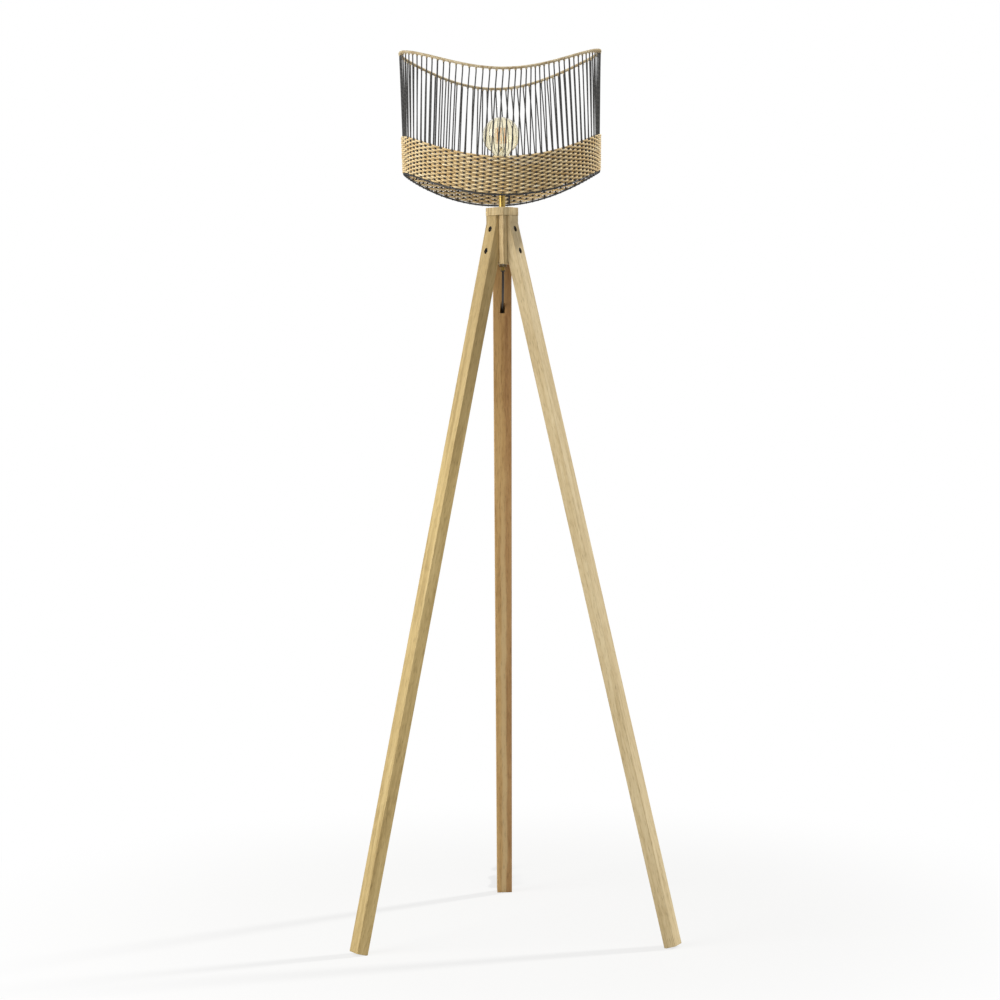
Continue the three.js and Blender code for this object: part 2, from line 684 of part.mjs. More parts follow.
const INSULATOR_RADIUS = HOLDER_RADIUS - HOLDER_WALL - FIT;
const SHELL_RADIUS = BULB_CAP_RADIUS + FIT + SHELL_WALL;

function lampholderInsulator() {
  const cavity = SHELL_RADIUS + FIT;
  const top = HOLDER_BOTTOM + CORE_BODY_HEIGHT;
  const made = turned([
    [0, HOLDER_BOTTOM],
    [INSULATOR_RADIUS, HOLDER_BOTTOM],
    [INSULATOR_RADIUS, top],
    [cavity, top],
    [cavity, CAVITY_FLOOR],
    [0, CAVITY_FLOOR],
  ]);
  return cut(made, [spindleHole()]);
}

function screwShell() {
  const bottom = CAVITY_FLOOR + FIT;
  const top = bottom + SHELL_HEIGHT;
  return turned([
    [SHELL_HOLE, bottom],
    [SHELL_RADIUS, bottom],
    [SHELL_RADIUS, top],
    [SHELL_RADIUS - SHELL_WALL, top],
    [SHELL_RADIUS - SHELL_WALL, bottom + SHELL_WALL],
    [SHELL_HOLE, bottom + SHELL_WALL],
    [SHELL_HOLE, bottom],
  ]);
}

const SWITCH_Z = HOLDER_BOTTOM + SWITCH_HEIGHT - FIT;
const SPINDLE_START = INSULATOR_RADIUS - SPINDLE_DEPTH;
const KNOB_START = HOLDER_RADIUS + FIT;

function spindleHole() {
  return radialBar(SPINDLE_RADIUS + FIT, SPINDLE_START - FIT, SHOULDER_RADIUS + OVERRUN, SWITCH_Z);
}

function addLampholder() {
  place("lampholder_cup", lampholderCup(), BRASS);
  place("lampholder_body", lampholderBody(), BLACK_PLASTIC);
  place("lampholder_insulator", lampholderInsulator(), CERAMIC);
  place("lampholder_screw_shell", screwShell(), BRASS);
  const contactBottom = CAVITY_FLOOR + FIT;
  const contact = disc(CONTACT_RADIUS, contactBottom, contactBottom + CONTACT_HEIGHT, SMALL_SIDES);
  place("lampholder_contact", contact, BRASS);
  const ringNutTop = RING_NUT_BOTTOM + RING_NUT_HEIGHT;
  const ringNut = sleeve(RING_NUT_RADIUS, HOLDER_RADIUS + FIT, RING_NUT_BOTTOM, ringNutTop);
  place("shade_ring_nut", ringNut, BLACK_PLASTIC);
  const spindleEnd = KNOB_START + KNOB_BORE_DEPTH - FIT;
  place("switch_spindle", radialBar(SPINDLE_RADIUS, SPINDLE_START, spindleEnd, SWITCH_Z), BRASS);
  const knob = radialBar(KNOB_RADIUS, KNOB_START, KNOB_START + KNOB_LENGTH, SWITCH_Z, ROUND_SIDES);
  const knobBoreEnd = KNOB_START + KNOB_BORE_DEPTH;
  const knobBore = radialBar(SPINDLE_RADIUS + FIT, KNOB_START - OVERRUN, knobBoreEnd, SWITCH_Z);
  place("switch_knob", cut(knob, [knobBore]), BLACK_PLASTIC);
}

// Bulb outline: straight neck, a short flare, then the globe
function bulbProfile(offset) {
  const globe = GLOBE_RADIUS - offset;
  const neck = BULB_CAP_RADIUS - BULB_CAP_WALL - FIT - offset;
  const flareEnd = Math.asin((neck + GLOBE_RADIUS / 6) / globe);
  const profile = [[neck, GLASS_BOTTOM]];
  const meetHeight = GLOBE_CENTRE - globe * Math.cos(flareEnd);
  profile.push([neck, meetHeight - GLOBE_RADIUS / 3]);
  profile.push([neck + GLOBE_RADIUS / 20, meetHeight - GLOBE_RADIUS / 8]);
  for (let i = 0; i <= GLOBE_STEPS; i += 1) {
    const angle = flareEnd + ((Math.PI - flareEnd) * i) / GLOBE_STEPS;
    const radius = i === GLOBE_STEPS ? 0 : globe * Math.sin(angle);
    profile.push([radius, GLOBE_CENTRE - globe * Math.cos(angle)]);
  }
  return profile;
}

function filamentCage() {
  const bottom = GLOBE_CENTRE - FILAMENT_LENGTH / 2;
  const top = GLOBE_CENTRE + FILAMENT_LENGTH / 2;
  const points = [];
  for (let i = 0; i < FILAMENT_DROPS; i += 1) {
    const angle = (2 * Math.PI * i) / FILAMENT_DROPS;
    const x = FILAMENT_CIRCLE * Math.cos(angle);
    const y = FILAMENT_CIRCLE * Math.sin(angle);
    const ends = i % 2 === 0 ? [top, bottom] : [bottom, top];
    for (const height of ends) points.push(new THREE.Vector3(x, y, height));
  }
  const outward = (point) => new THREE.Vector3(point.x, point.y, 0).normalize();
  return wireThrough(points, outward, FILAMENT_RADIUS, DROP_SIDES);
}

function filamentHolder(stemTop) {
  const lower = GLOBE_CENTRE - FILAMENT_LENGTH / 2;
  const upper = GLOBE_CENTRE + FILAMENT_LENGTH / 2;
  const wire = HOLDER_WIRE_RADIUS;
  const discRadius = FILAMENT_CIRCLE * Math.cos(Math.PI / FILAMENT_DROPS) - FILAMENT_RADIUS - FIT;
  const half = FILAMENT_HOLDER_DISC / 2;
  return turned([
    [0, stemTop],
    [wire, stemTop],
    [wire, lower - half],
    [discRadius, lower - half],
    [discRadius, lower + half],
    [wire, lower + half],
    [wire, upper - half],
    [discRadius, upper - half],
    [discRadius, upper + half],
    [0, upper + half],
  ], SMALL_SIDES);
}

function addBulb() {
  const outside = bulbProfile(0);
  const inside = bulbProfile(GLASS_WALL).reverse();
  place("bulb_glass", turned([...outside, ...inside, outside[0]]), GLASS);
  const capTop = BULB_CAP_BOTTOM + BULB_CAP_HEIGHT;
  const capInside = BULB_CAP_RADIUS - BULB_CAP_WALL;
  const cap = turned([
    [BULB_SEAL_RADIUS / 2, BULB_CAP_BOTTOM],
    [BULB_SEAL_RADIUS, BULB_CAP_BOTTOM],
    [BULB_CAP_RADIUS, BULB_CAP_BOTTOM + BULB_SEAL_HEIGHT],
    [BULB_CAP_RADIUS, capTop],
    [capInside, capTop],
    [capInside, BULB_CAP_BOTTOM + BULB_SEAL_HEIGHT],
    [BULB_SEAL_RADIUS - BULB_CAP_WALL, BULB_CAP_BOTTOM + BULB_CAP_WALL],
    [BULB_SEAL_RADIUS / 2, BULB_CAP_BOTTOM + BULB_CAP_WALL],
    [BULB_SEAL_RADIUS / 2, BULB_CAP_BOTTOM],
  ]);
  place("bulb_cap", cap, STEEL);
  const seal = turned([
    [0, SEAL_BOTTOM],
    [BULB_TIP_RADIUS, SEAL_BOTTOM],
    [BULB_SEAL_RADIUS, SEAL_BOTTOM + BULB_SEAL_HEIGHT],
    [0, SEAL_BOTTOM + BULB_SEAL_HEIGHT],
  ]);
  place("bulb_insulator", seal, BLACK_PLASTIC);
  place("bulb_tip", disc(BULB_TIP_RADIUS, TIP_BOTTOM, TIP_BOTTOM + BULB_TIP_HEIGHT, SMALL_SIDES), STEEL);
  const flare = BULB_CAP_RADIUS - BULB_CAP_WALL - FIT - GLASS_WALL - FIT;
  const stemTop = GLASS_BOTTOM + STEM_HEIGHT;
  const stem = turned([
    [0, GLASS_BOTTOM],
    [flare, GLASS_BOTTOM],
    [STEM_RADIUS, GLASS_BOTTOM + STEM_FLARE_HEIGHT],
    [STEM_RADIUS, stemTop],
    [0, stemTop],
  ], SMALL_SIDES);
  place("bulb_stem", stem, GLASS);
  place("bulb_filament_holder", filamentHolder(stemTop + FIT), STEEL);
  place("bulb_filament", filamentCage(), FILAMENT);
}

// Black cord laced down and up between the two rings, one length for each quarter of the wall
function lacing(quarter) {
  const below = RING_WIRE_RADIUS + FIT + DROP_RADIUS;
  const bottom = BOTTOM_RING_HEIGHT + RING_WIRE_RADIUS + 2 * FIT + BAND_SKIN + DROP_RADIUS;
  const points = [];
  for (let i = 0; i < DROPS_PER_QUARTER; i += 1) {
    const angle = warpAngle(quarter * (DROPS_PER_QUARTER + 1) + 1 + i);
    const high = rimPoint(rimAngle(angle), below);
    const low = wallPoint(angle, WALL_RADIUS, bottom);
    points.push(...(i % 2 === 0 ? [high, low] : [low, high]));
  }
  const outward = (point) => new THREE.Vector3(point.x, point.y, 0).normalize();
  return wireThrough(points, outward, DROP_RADIUS, DROP_SIDES);
}

function strut(angle) {
  const low = wallPoint(angle, WALL_RADIUS, BOTTOM_RING_HEIGHT + RING_WIRE_RADIUS + FIT);
  const high = rimPoint(rimAngle(angle), RING_WIRE_RADIUS + FIT);
  return bentBar([low, high], STRUT_RADIUS, 1);
}

// Woven band: a folded skin with the cord drops and struts inside its fold, leaning out with the wall
function rattanBand() {
  const outer = WALL_SLOT_HALF + BAND_SKIN;
  const lean = (SHADE_FLARE * BAND_HEIGHT) / SHADE_RISE;
  const section = [
    [outer, 0],
    [outer + lean, BAND_HEIGHT],
    [WALL_SLOT_HALF + lean, BAND_HEIGHT],
    [WALL_SLOT_HALF, BAND_SKIN],
    [-WALL_SLOT_HALF, BAND_SKIN],
    [lean - WALL_SLOT_HALF, BAND_HEIGHT],
    [lean - outer, BAND_HEIGHT],
    [-outer, 0],
  ];
  const bottom = BOTTOM_RING_HEIGHT + RING_WIRE_RADIUS + FIT;
  const band = wallRing(section.reverse(), WALL_RADIUS, bottom);
  const holes = QUARTERS.map((quarter) => {
    const spot = wallPoint(warpAngle(quarter * (DROPS_PER_QUARTER + 1)), WALL_RADIUS, bottom);
    const low = spot.z - OVERRUN;
    return disc(WALL_SLOT_HALF, low, spot.z + OVERRUN, WIRE_SIDES).translate(spot.x, spot.y, 0);
  });
  return cut(band, holes);
}

function rimWrap() {
  const outer = RIM_RADIUS;
  const inner = RING_WIRE_RADIUS + FIT;
  const arch = (radius, i) => {
    const angle = (Math.PI * i) / RIM_STEPS;
    return [radius * Math.cos(angle), radius * Math.sin(angle)];
  };
  const outside = Array.from({ length: RIM_STEPS + 1 }, (_, i) => arch(outer, i));
  const inside = Array.from({ length: RIM_STEPS + 1 }, (_, i) => arch(inner, RIM_STEPS - i));
  const section = [[outer, -RIM_WRAP_SKIRT], ...outside, [-outer, -RIM_WRAP_SKIRT]];
  section.push([-inner, -RIM_WRAP_SKIRT], ...inside, [inner, -RIM_WRAP_SKIRT]);
  return wallRing(section.reverse(), RIM_WALL_RADIUS, TOP_RING_HEIGHT, rimDipAt);
}

// Arm of the spider along a turn: straight to the bottom ring at the sides, turned down to it at front
// and back. It meets the ring a clearance below the ring's middle, clear of the woven band
function spiderArm(angle) {
  const start = SPIDER_PLATE_RADIUS - SPIDER_WELD;
  const end = WALL_RADIUS - CHORD_SAG - RING_WIRE_RADIUS - FIT;
  const low = BOTTOM_RING_HEIGHT - dipAt(angle) - FIT;
  const inside = WALL_RADIUS - CHORD_SAG - WALL_SLOT_HALF - BAND_SKIN - FIT - SPIDER_ARM_RADIUS;
  const drop = SPIDER_MIDDLE - low;
  const along = drop < SPIDER_BEND
    ? [[start, SPIDER_MIDDLE], [end, low]]
    : [
        [start, SPIDER_MIDDLE],
        [inside - SPIDER_BEND, SPIDER_MIDDLE],
        [inside - SPIDER_BEND / 4, SPIDER_MIDDLE - SPIDER_BEND / 4],
        [inside, SPIDER_MIDDLE - SPIDER_BEND],
        [inside, low + SPIDER_BEND / 2],
        [inside, low],
        [end, low],
      ];
  const points = along.map(([reach, height]) =>
    new THREE.Vector3(reach * Math.cos(angle), reach * Math.sin(angle), height),
  );
  return bentBar(points, SPIDER_ARM_RADIUS, points.length > 2 ? ARM_STEPS : 1, DROP_SIDES);
}

function addShade() {
  const wire = roundSection(RING_WIRE_RADIUS, WIRE_SIDES);
  place("shade_top_ring", wallRing(wire, RIM_WALL_RADIUS, TOP_RING_HEIGHT, rimDipAt), BLACK_METAL);
  place("shade_rim_wrap", rimWrap(), RATTAN);
  place("shade_bottom_ring", wallRing(wire, WALL_RADIUS, BOTTOM_RING_HEIGHT), BLACK_METAL);
  ["back_right", "back_left", "front_left", "front_right"].forEach((corner, quarter) => {
    place("shade_strut_" + corner, strut(warpAngle(quarter * (DROPS_PER_QUARTER + 1))), BLACK_METAL);
  });
  ["back", "left", "front", "right"].forEach((side, quarter) => {
    place("shade_cords_" + side, lacing(quarter), BLACK_CORD);
  });
  place("shade_rattan_band", rattanBand(), RATTAN);
  const half = SPIDER_PLATE_THICKNESS / 2;
  const plate = sleeve(SPIDER_PLATE_RADIUS, HOLDER_RADIUS + FIT, SPIDER_MIDDLE - half, SPIDER_MIDDLE + half);
  const arms = QUARTERS.map((quarter) => spiderArm(degrees(SPIDER_TURN) + (Math.PI / 2) * quarter));
  place("shade_spider", join([plate, ...arms]), BLACK_METAL);
}

// Route of the cord, chosen by hand, as [across, back from the lamp axis, height]
const DROP_ROUTE = [
  [0, 0, 1158],
  [0, 1.5, 1150],
  [0, 7, 1138],
  [0, 17, 1124],
  [0, 30, 1111],
  [0, 42, 1101.5],
  [0, 54, 1092],
  [0, 64.2, 1083],
  [0, 68.9, 1074],
  [0, 71.6, 1062],
];
const TAIL_ROUTE = [
  [0, 316.9, 36],
  [-0.3, 321, 19.1],
  [-0.8, 323.9, 12.4],
  [-1.9, 328.8, 7],
  [-3.7, 335.2, 3.5],
  [-6, 342.4, 2.3],
  [-8.2, 350.3, 2.3],
];
const RUN_TOP = 1045;
const RUN_BOTTOM = 57;

function cordPoint([across, back, height]) {
  return new THREE.Vector3(across, back, height);
}

// Point on the cord where it lies along the rear leg's outer face
function besideLeg(height) {
  const away = (CORD_OFFSET + FIT / 2) / Math.cos(OUTER_LEAN);
  return new THREE.Vector3(0, outerReach(height) + away, height);
}

function pointAlong(from, to, distance) {
  return from.clone().addScaledVector(to.clone().sub(from).normalize(), distance);
}

// Place on the floor behind the lamp, in the hank's own directions
function hankPlace(across, along, height) {
  const turn = degrees(HANK_HEADING);
  return new THREE.Vector3(
    HANK_ASIDE + across * Math.cos(turn) + along * Math.sin(turn),
    HANK_START + along * Math.cos(turn) - across * Math.sin(turn),
    height,
  );
}

// How far a place along a run is out of the hank's waist: 0 under the tie and 1 past the waist's reach
function outOfWaist(along) {
  const past = (Math.abs(along - HANK_LENGTH / 2) - TIE_WIDTH / 2) / HANK_WAIST_REACH;
  const away = Math.min(1, Math.max(0, past));
  return away * away * (3 - 2 * away);
}

// Point of a run: side is -1 or 1, level counts layers. The tie lifts the waist by its own thickness
function runPoint(side, along, level) {
  const out = outOfWaist(along);
  const half = HANK_WAIST_HALF + (HANK_HALF_WIDTH - HANK_WAIST_HALF) * out;
  const lift = (TIE_THICKNESS + FIT) * (1 - out);
  return hankPlace(side * half, along, HANK_REST + HANK_LAYER_STEP * level + lift);
}

// Cord centre points of the hank: a run out on the left, a half turn, a run back that climbs one layer,
// a half turn
function hankPath() {
  const runs = 2 * HANK_LOOPS;
  const path = [];
  for (let run = 0; run < runs; run += 1) {
    const outbound = run % 2 === 0;
    const side = outbound ? -1 : 1;
    const layer = Math.floor(run / 2);
    const shares = run === 0 ? RUN_SHARES : RUN_SHARES.slice(1);
    for (const share of shares) {
      const along = HANK_LENGTH * (outbound ? share : 1 - share);
      path.push(runPoint(side, along, layer + (outbound ? 0 : share)));
    }
    if (run === runs - 1) break;
    const turnEnd = outbound ? HANK_LENGTH : 0;
    const level = outbound ? layer : layer + 1;
    for (let i = 1; i <= TURN_STEPS; i += 1) {
      const angle = (Math.PI * i) / TURN_STEPS;
      const across = side * HANK_HALF_WIDTH * Math.cos(angle);
      const along = turnEnd - side * HANK_HALF_WIDTH * Math.sin(angle);
      path.push(hankPlace(across, along, HANK_REST + HANK_LAYER_STEP * level));
    }
  }
  return path;
}

// Least gap between stretches of the cord that are more than half a loop apart, measured on points along it
function leastGap(path) {
  const parts = 8;
  const apart = parts * RUN_SHARES.length;
  const fine = [];
  for (let i = 0; i < path.length - 1; i += 1) {
    for (let k = 0; k < parts; k += 1) fine.push(path[i].clone().lerp(path[i + 1], k / parts));
  }
  let least = Infinity;
  for (let i = 0; i < fine.length; i += 1) {
    for (let j = i + apart; j < fine.length; j += 1) {
      least = Math.min(least, fine[i].distanceTo(fine[j]));
    }
  }
  return least - 2 * CORD_RADIUS;
}

const HANK_TOP = HANK_REST + HANK_LAYER_STEP * (HANK_LOOPS - 0.5);

function addCord() {
  const exit = new THREE.Vector3(0, 0, BUSH_BOTTOM - FIT);
  const inside = disc(CORD_RADIUS, BUSH_BOTTOM, HOLDER_BOTTOM - FIT, WIRE_SIDES);
  place("cord_in_pipe", inside, BLACK_PLASTIC);

  const runTop = besideLeg(RUN_TOP);
  const runBottom = besideLeg(RUN_BOTTOM);
  const dropEnd = pointAlong(runTop, runBottom, -FIT);
  const drop = [exit, ...DROP_ROUTE.map(cordPoint), dropEnd];
  place("cord_drop", bentBar(drop, CORD_RADIUS, CORD_DROP_STEPS), BLACK_PLASTIC);
  place("cord_leg_run", bentBar([runTop, runBottom], CORD_RADIUS, CORD_RUN_STEPS), BLACK_PLASTIC);

  const tailStart = pointAlong(runBottom, runTop, -FIT);
  const hankStart = hankPlace(-HANK_HALF_WIDTH, -FIT, HANK_REST);
  const straight = hankPlace(-HANK_HALF_WIDTH, -2 * CORD_RADIUS, HANK_REST);
  const tail = [tailStart, ...TAIL_ROUTE.map(cordPoint), straight, hankStart];
  place("cord_tail", bentBar(tail, CORD_RADIUS, CORD_TAIL_STEPS), BLACK_PLASTIC);

  const path = hankPath();
  console.log("least gap of the hank's cord to itself: " + leastGap(path).toFixed(2) + " mm");
  const up = () => new THREE.Vector3(0, 0, 1);
  place("cord_hank", wireThrough(path, up, CORD_RADIUS, DROP_SIDES), BLACK_PLASTIC);

  const entry = PLUG_HEIGHT / 2;
  const fall = HANK_TOP - entry;
  const leadEnd = HANK_LENGTH + PLUG_GAP;
  const lead = [
    hankPlace(-HANK_HALF_WIDTH, HANK_LENGTH + FIT, HANK_TOP),
    hankPlace(-HANK_HALF_WIDTH, HANK_LENGTH + 2 * CORD_RADIUS, HANK_TOP),
    hankPlace(-HANK_HALF_WIDTH * (1 - LEAD_SHARE), HANK_LENGTH + PLUG_GAP / 4, HANK_TOP - fall * LEAD_SHARE),
    hankPlace(-HANK_HALF_WIDTH / 2, HANK_LENGTH + PLUG_GAP / 2, (HANK_TOP + entry) / 2),
    hankPlace(-HANK_HALF_WIDTH * LEAD_SHARE, HANK_LENGTH + (PLUG_GAP * 3) / 4, entry + fall * LEAD_SHARE),
    hankPlace(0, leadEnd - 2 * CORD_RADIUS, entry),
    hankPlace(0, leadEnd - FIT, entry),
  ];
  place("cord_plug_lead", bentBar(lead, CORD_RADIUS, CORD_LEAD_STEPS), BLACK_PLASTIC);
}

// Flat strap round the hank's waist
function hankTie() {
  const lift = TIE_THICKNESS + FIT;
  const top = HANK_TOP + lift + CORD_RADIUS + FIT;
  const bottom = HANK_REST + lift - CORD_RADIUS - FIT;
  const half = HANK_WAIST_HALF + CORD_RADIUS + 2 * FIT;
  const wide = half + TIE_THICKNESS;
  const along = TIE_WIDTH / 2;
  const outside = block([-wide, -along, bottom - TIE_THICKNESS], [wide, along, top + TIE_THICKNESS]);
  const inside = block([-half, -along - OVERRUN, bottom], [half, along + OVERRUN, top]);
  return cut(outside, [inside]);
}

// Plug, built along +Y from the tip of its strain relief: a tapered relief, a shoulder and a body with
// two blades
function plugBody() {
  const neck = PLUG_NECK_WIDTH / 2;
  const half = PLUG_WIDTH / 2;
  const body = prism([
    [-neck, RELIEF_LENGTH],
    [neck, RELIEF_LENGTH],
    [half, RELIEF_LENGTH + PLUG_NECK_LENGTH],
    [half, RELIEF_LENGTH + PLUG_LENGTH],
    [-half, RELIEF_LENGTH + PLUG_LENGTH],
    [-half, RELIEF_LENGTH + PLUG_NECK_LENGTH],
  ], 0, PLUG_HEIGHT);
  const root = RELIEF_LENGTH + PLUG_NECK_LENGTH / 2;
  const relief = turned([
    [0, 0],
    [RELIEF_TIP_RADIUS, 0],
    [RELIEF_ROOT_RADIUS, RELIEF_LENGTH],
    [RELIEF_ROOT_RADIUS, root],
    [0, root],
  ], SMALL_SIDES).rotateX(-Math.PI / 2).translate(0, 0, PLUG_HEIGHT / 2);
  return cut(join([body, relief]), [-1, 1].map((side) => blade(side, FIT)));
}

function blade(side, margin) {
  const middle = (side * BLADE_SPACING) / 2;
  const across = BLADE_THICKNESS / 2 + margin;
  const tall = BLADE_HEIGHT / 2 + margin;
  const face = RELIEF_LENGTH + PLUG_LENGTH;
  return block(
    [middle - across, face - BLADE_ROOT - margin, PLUG_HEIGHT / 2 - tall],
    [middle + across, face + BLADE_LENGTH, PLUG_HEIGHT / 2 + tall],
  );
}

function addPlugAndTie() {
  const tieGroup = new THREE.Group();
  tieGroup.position.copy(hankPlace(0, HANK_LENGTH / 2, 0));
  tieGroup.rotation.z = -degrees(HANK_HEADING);
  lamp.add(tieGroup);
  place("hank_tie", hankTie(), BLACK_PLASTIC, tieGroup);

  const plugGroup = new THREE.Group();
  plugGroup.position.copy(hankPlace(0, HANK_LENGTH + PLUG_GAP, 0));
  plugGroup.rotation.z = -degrees(HANK_HEADING);
  lamp.add(plugGroup);
  place("plug_body", plugBody(), BLACK_PLASTIC, plugGroup);
  place("plug_blade_left", blade(-1, 0), BRASS, plugGroup);
  place("plug_blade_right", blade(1, 0), BRASS, plugGroup);
}

addLegs();
addHub();
addPipe();
addLampholder();
addBulb();
addShade();
addCord();
addPlugAndTie();

const part = new THREE.Group();
part.add(lamp);
export default part;
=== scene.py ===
import json
import math
from functools import partial

import bmesh
import bpy
from mathutils import Matrix, Vector

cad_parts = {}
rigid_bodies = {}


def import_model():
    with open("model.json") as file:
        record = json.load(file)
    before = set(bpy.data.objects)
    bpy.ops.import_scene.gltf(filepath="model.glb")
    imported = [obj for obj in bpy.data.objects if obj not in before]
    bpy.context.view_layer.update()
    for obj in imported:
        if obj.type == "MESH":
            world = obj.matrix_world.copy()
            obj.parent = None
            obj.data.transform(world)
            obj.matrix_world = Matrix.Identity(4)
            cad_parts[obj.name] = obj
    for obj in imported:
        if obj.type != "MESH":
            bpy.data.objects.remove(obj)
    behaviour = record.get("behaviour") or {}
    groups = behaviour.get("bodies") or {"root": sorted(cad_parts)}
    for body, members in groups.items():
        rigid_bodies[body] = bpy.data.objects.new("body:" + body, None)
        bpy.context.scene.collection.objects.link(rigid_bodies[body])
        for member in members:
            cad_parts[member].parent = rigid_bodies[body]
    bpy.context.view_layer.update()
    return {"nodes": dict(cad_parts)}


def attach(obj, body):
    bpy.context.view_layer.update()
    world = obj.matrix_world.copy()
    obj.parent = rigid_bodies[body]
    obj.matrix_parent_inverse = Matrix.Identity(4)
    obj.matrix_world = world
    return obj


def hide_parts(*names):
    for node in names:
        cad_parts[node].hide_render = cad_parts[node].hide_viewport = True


# Tripod floor lamp with an open shade of black cord and woven rattan. Every piece is built in metres, where
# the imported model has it, in the order in which the lamp is put together: legs, hub, bolts, pipe,
# lampholder, bulb, shade and cord. The floor, the lights and the camera come last.
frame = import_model()

# Legs
# Three bars of oiled mango wood, a little wider at the hub than at the foot. Their edges are eased by hand
# with fine paper, and each stands on a narrow land at its inner corner.
MM = 0.001
LEG_EASE = 0.8 * MM
LEG_SHORTEST_EASED = 12
LEG_REACH = 301
LEG_RISE = 1261
LEG_LEAN = math.atan2(LEG_REACH, LEG_RISE)
LEG_TURNS = {"left": 210, "right": 330, "rear": 90}
UP = Vector((0, 0, 1))
# Settings of a colour mix, and of one that multiplies
COLOURS = {"data_type": "RGBA"}
MULTIPLIED = {"data_type": "RGBA", "blend_type": "MULTIPLY"}
# Node kinds that Geometry Nodes shares with materials
SHARED_KINDS = ("Math", "VectorMath", "Mix", "CombineXYZ", "SeparateXYZ", "TexNoise")


def linear(colour):
    """An sRGB hex colour as linear red, green, blue and an opaque alpha"""
    parts = [int(colour[i : i + 2], 16) / 255 for i in (1, 3, 5)]
    return tuple(c / 12.92 if c <= 0.04045 else ((c + 0.055) / 1.055) ** 2.4 for c in parts) + (1.0,)


def set_inputs(node, inputs):
    """Gives a node's inputs their values, hex colours or links, in a list from the first or by key"""
    keyed = inputs if isinstance(inputs, dict) else dict(enumerate(inputs))
    for key, value in keyed.items():
        if isinstance(value, bpy.types.Node):
            value = value.outputs[0]
        if isinstance(value, bpy.types.NodeSocket):
            node.id_data.links.new(value, node.inputs[key])
        elif isinstance(value, str) and value.startswith("#"):
            node.inputs[key].default_value = linear(value)
        else:
            node.inputs[key].default_value = value


def add_node(tree, kind, inputs=(), settings=None):
    """Adds a node. Settings are its operation, or its own properties, with ramp stops as (place, hex)"""
    shader_kind = tree.type == "SHADER" or kind in SHARED_KINDS
    made = tree.nodes.new(("ShaderNode" if shader_kind else "GeometryNode") + kind)
    if isinstance(settings, str):
        settings = {"operation": settings}
    for name, value in (settings or {}).items():
        if name != "stops":
            setattr(made, name, value)
            continue
        stops = made.color_ramp.elements
        stops.remove(stops[1])
        stops[0].position = value[0][0]
        stops[0].color = linear(value[0][1])
        for place, colour in value[1:]:
            stops.new(place).color = linear(colour)
    set_inputs(made, inputs)
    return made


def new_material(name, shader_inputs):
    """A material with one Principled shader, what adds a node to it, and the shader"""
    material = bpy.data.materials.new(name)
    material.use_nodes = True
    material.node_tree.nodes.clear()
    add = partial(add_node, material.node_tree)
    shader = add("BsdfPrincipled", shader_inputs)
    add("OutputMaterial", {"Surface": shader})
    return material, add, shader


def add_figure(add, place, tone, brown, heart):
    """Nodes for a bar sawn near the log's middle: browner to one side, with a pale stripe in its lower
    half. Brown is what the tone is multiplied by on that side, and heart is the stripe's colour"""
    # The figure sways by about 2 mm to each side, as the tree grew
    sway = add("TexNoise", {"W": place.outputs[0], "Scale": 9, "Detail": 2}, {"noise_dimensions": "1D"})
    sway = add("Math", [sway.outputs[0], 8 * MM, -4 * MM], "MULTIPLY_ADD")
    aside = add("Math", [place.outputs[1], sway], "ADD")
    side = add("MapRange", [aside, -5 * MM, -1 * MM, 0.0, 1.0])
    shade = add("Mix", {0: side, 6: brown, 7: "#ffffff"}, COLOURS)
    shaded = add("Mix", {0: 1.0, 6: tone, 7: shade.outputs[2]}, MULTIPLIED)
    distance = add("Math", [aside], "ABSOLUTE")
    stripe = add("MapRange", [distance, 3 * MM, 6 * MM, 1.0, 0.0])
    low = add("MapRange", [place.outputs[0], 0.5, 0.8, 0.8, 0.0])
    weight = add("Math", [stripe, low], "MULTIPLY")
    return add("Mix", {0: weight, 6: shaded.outputs[2], 7: heart}, COLOURS).outputs[2]


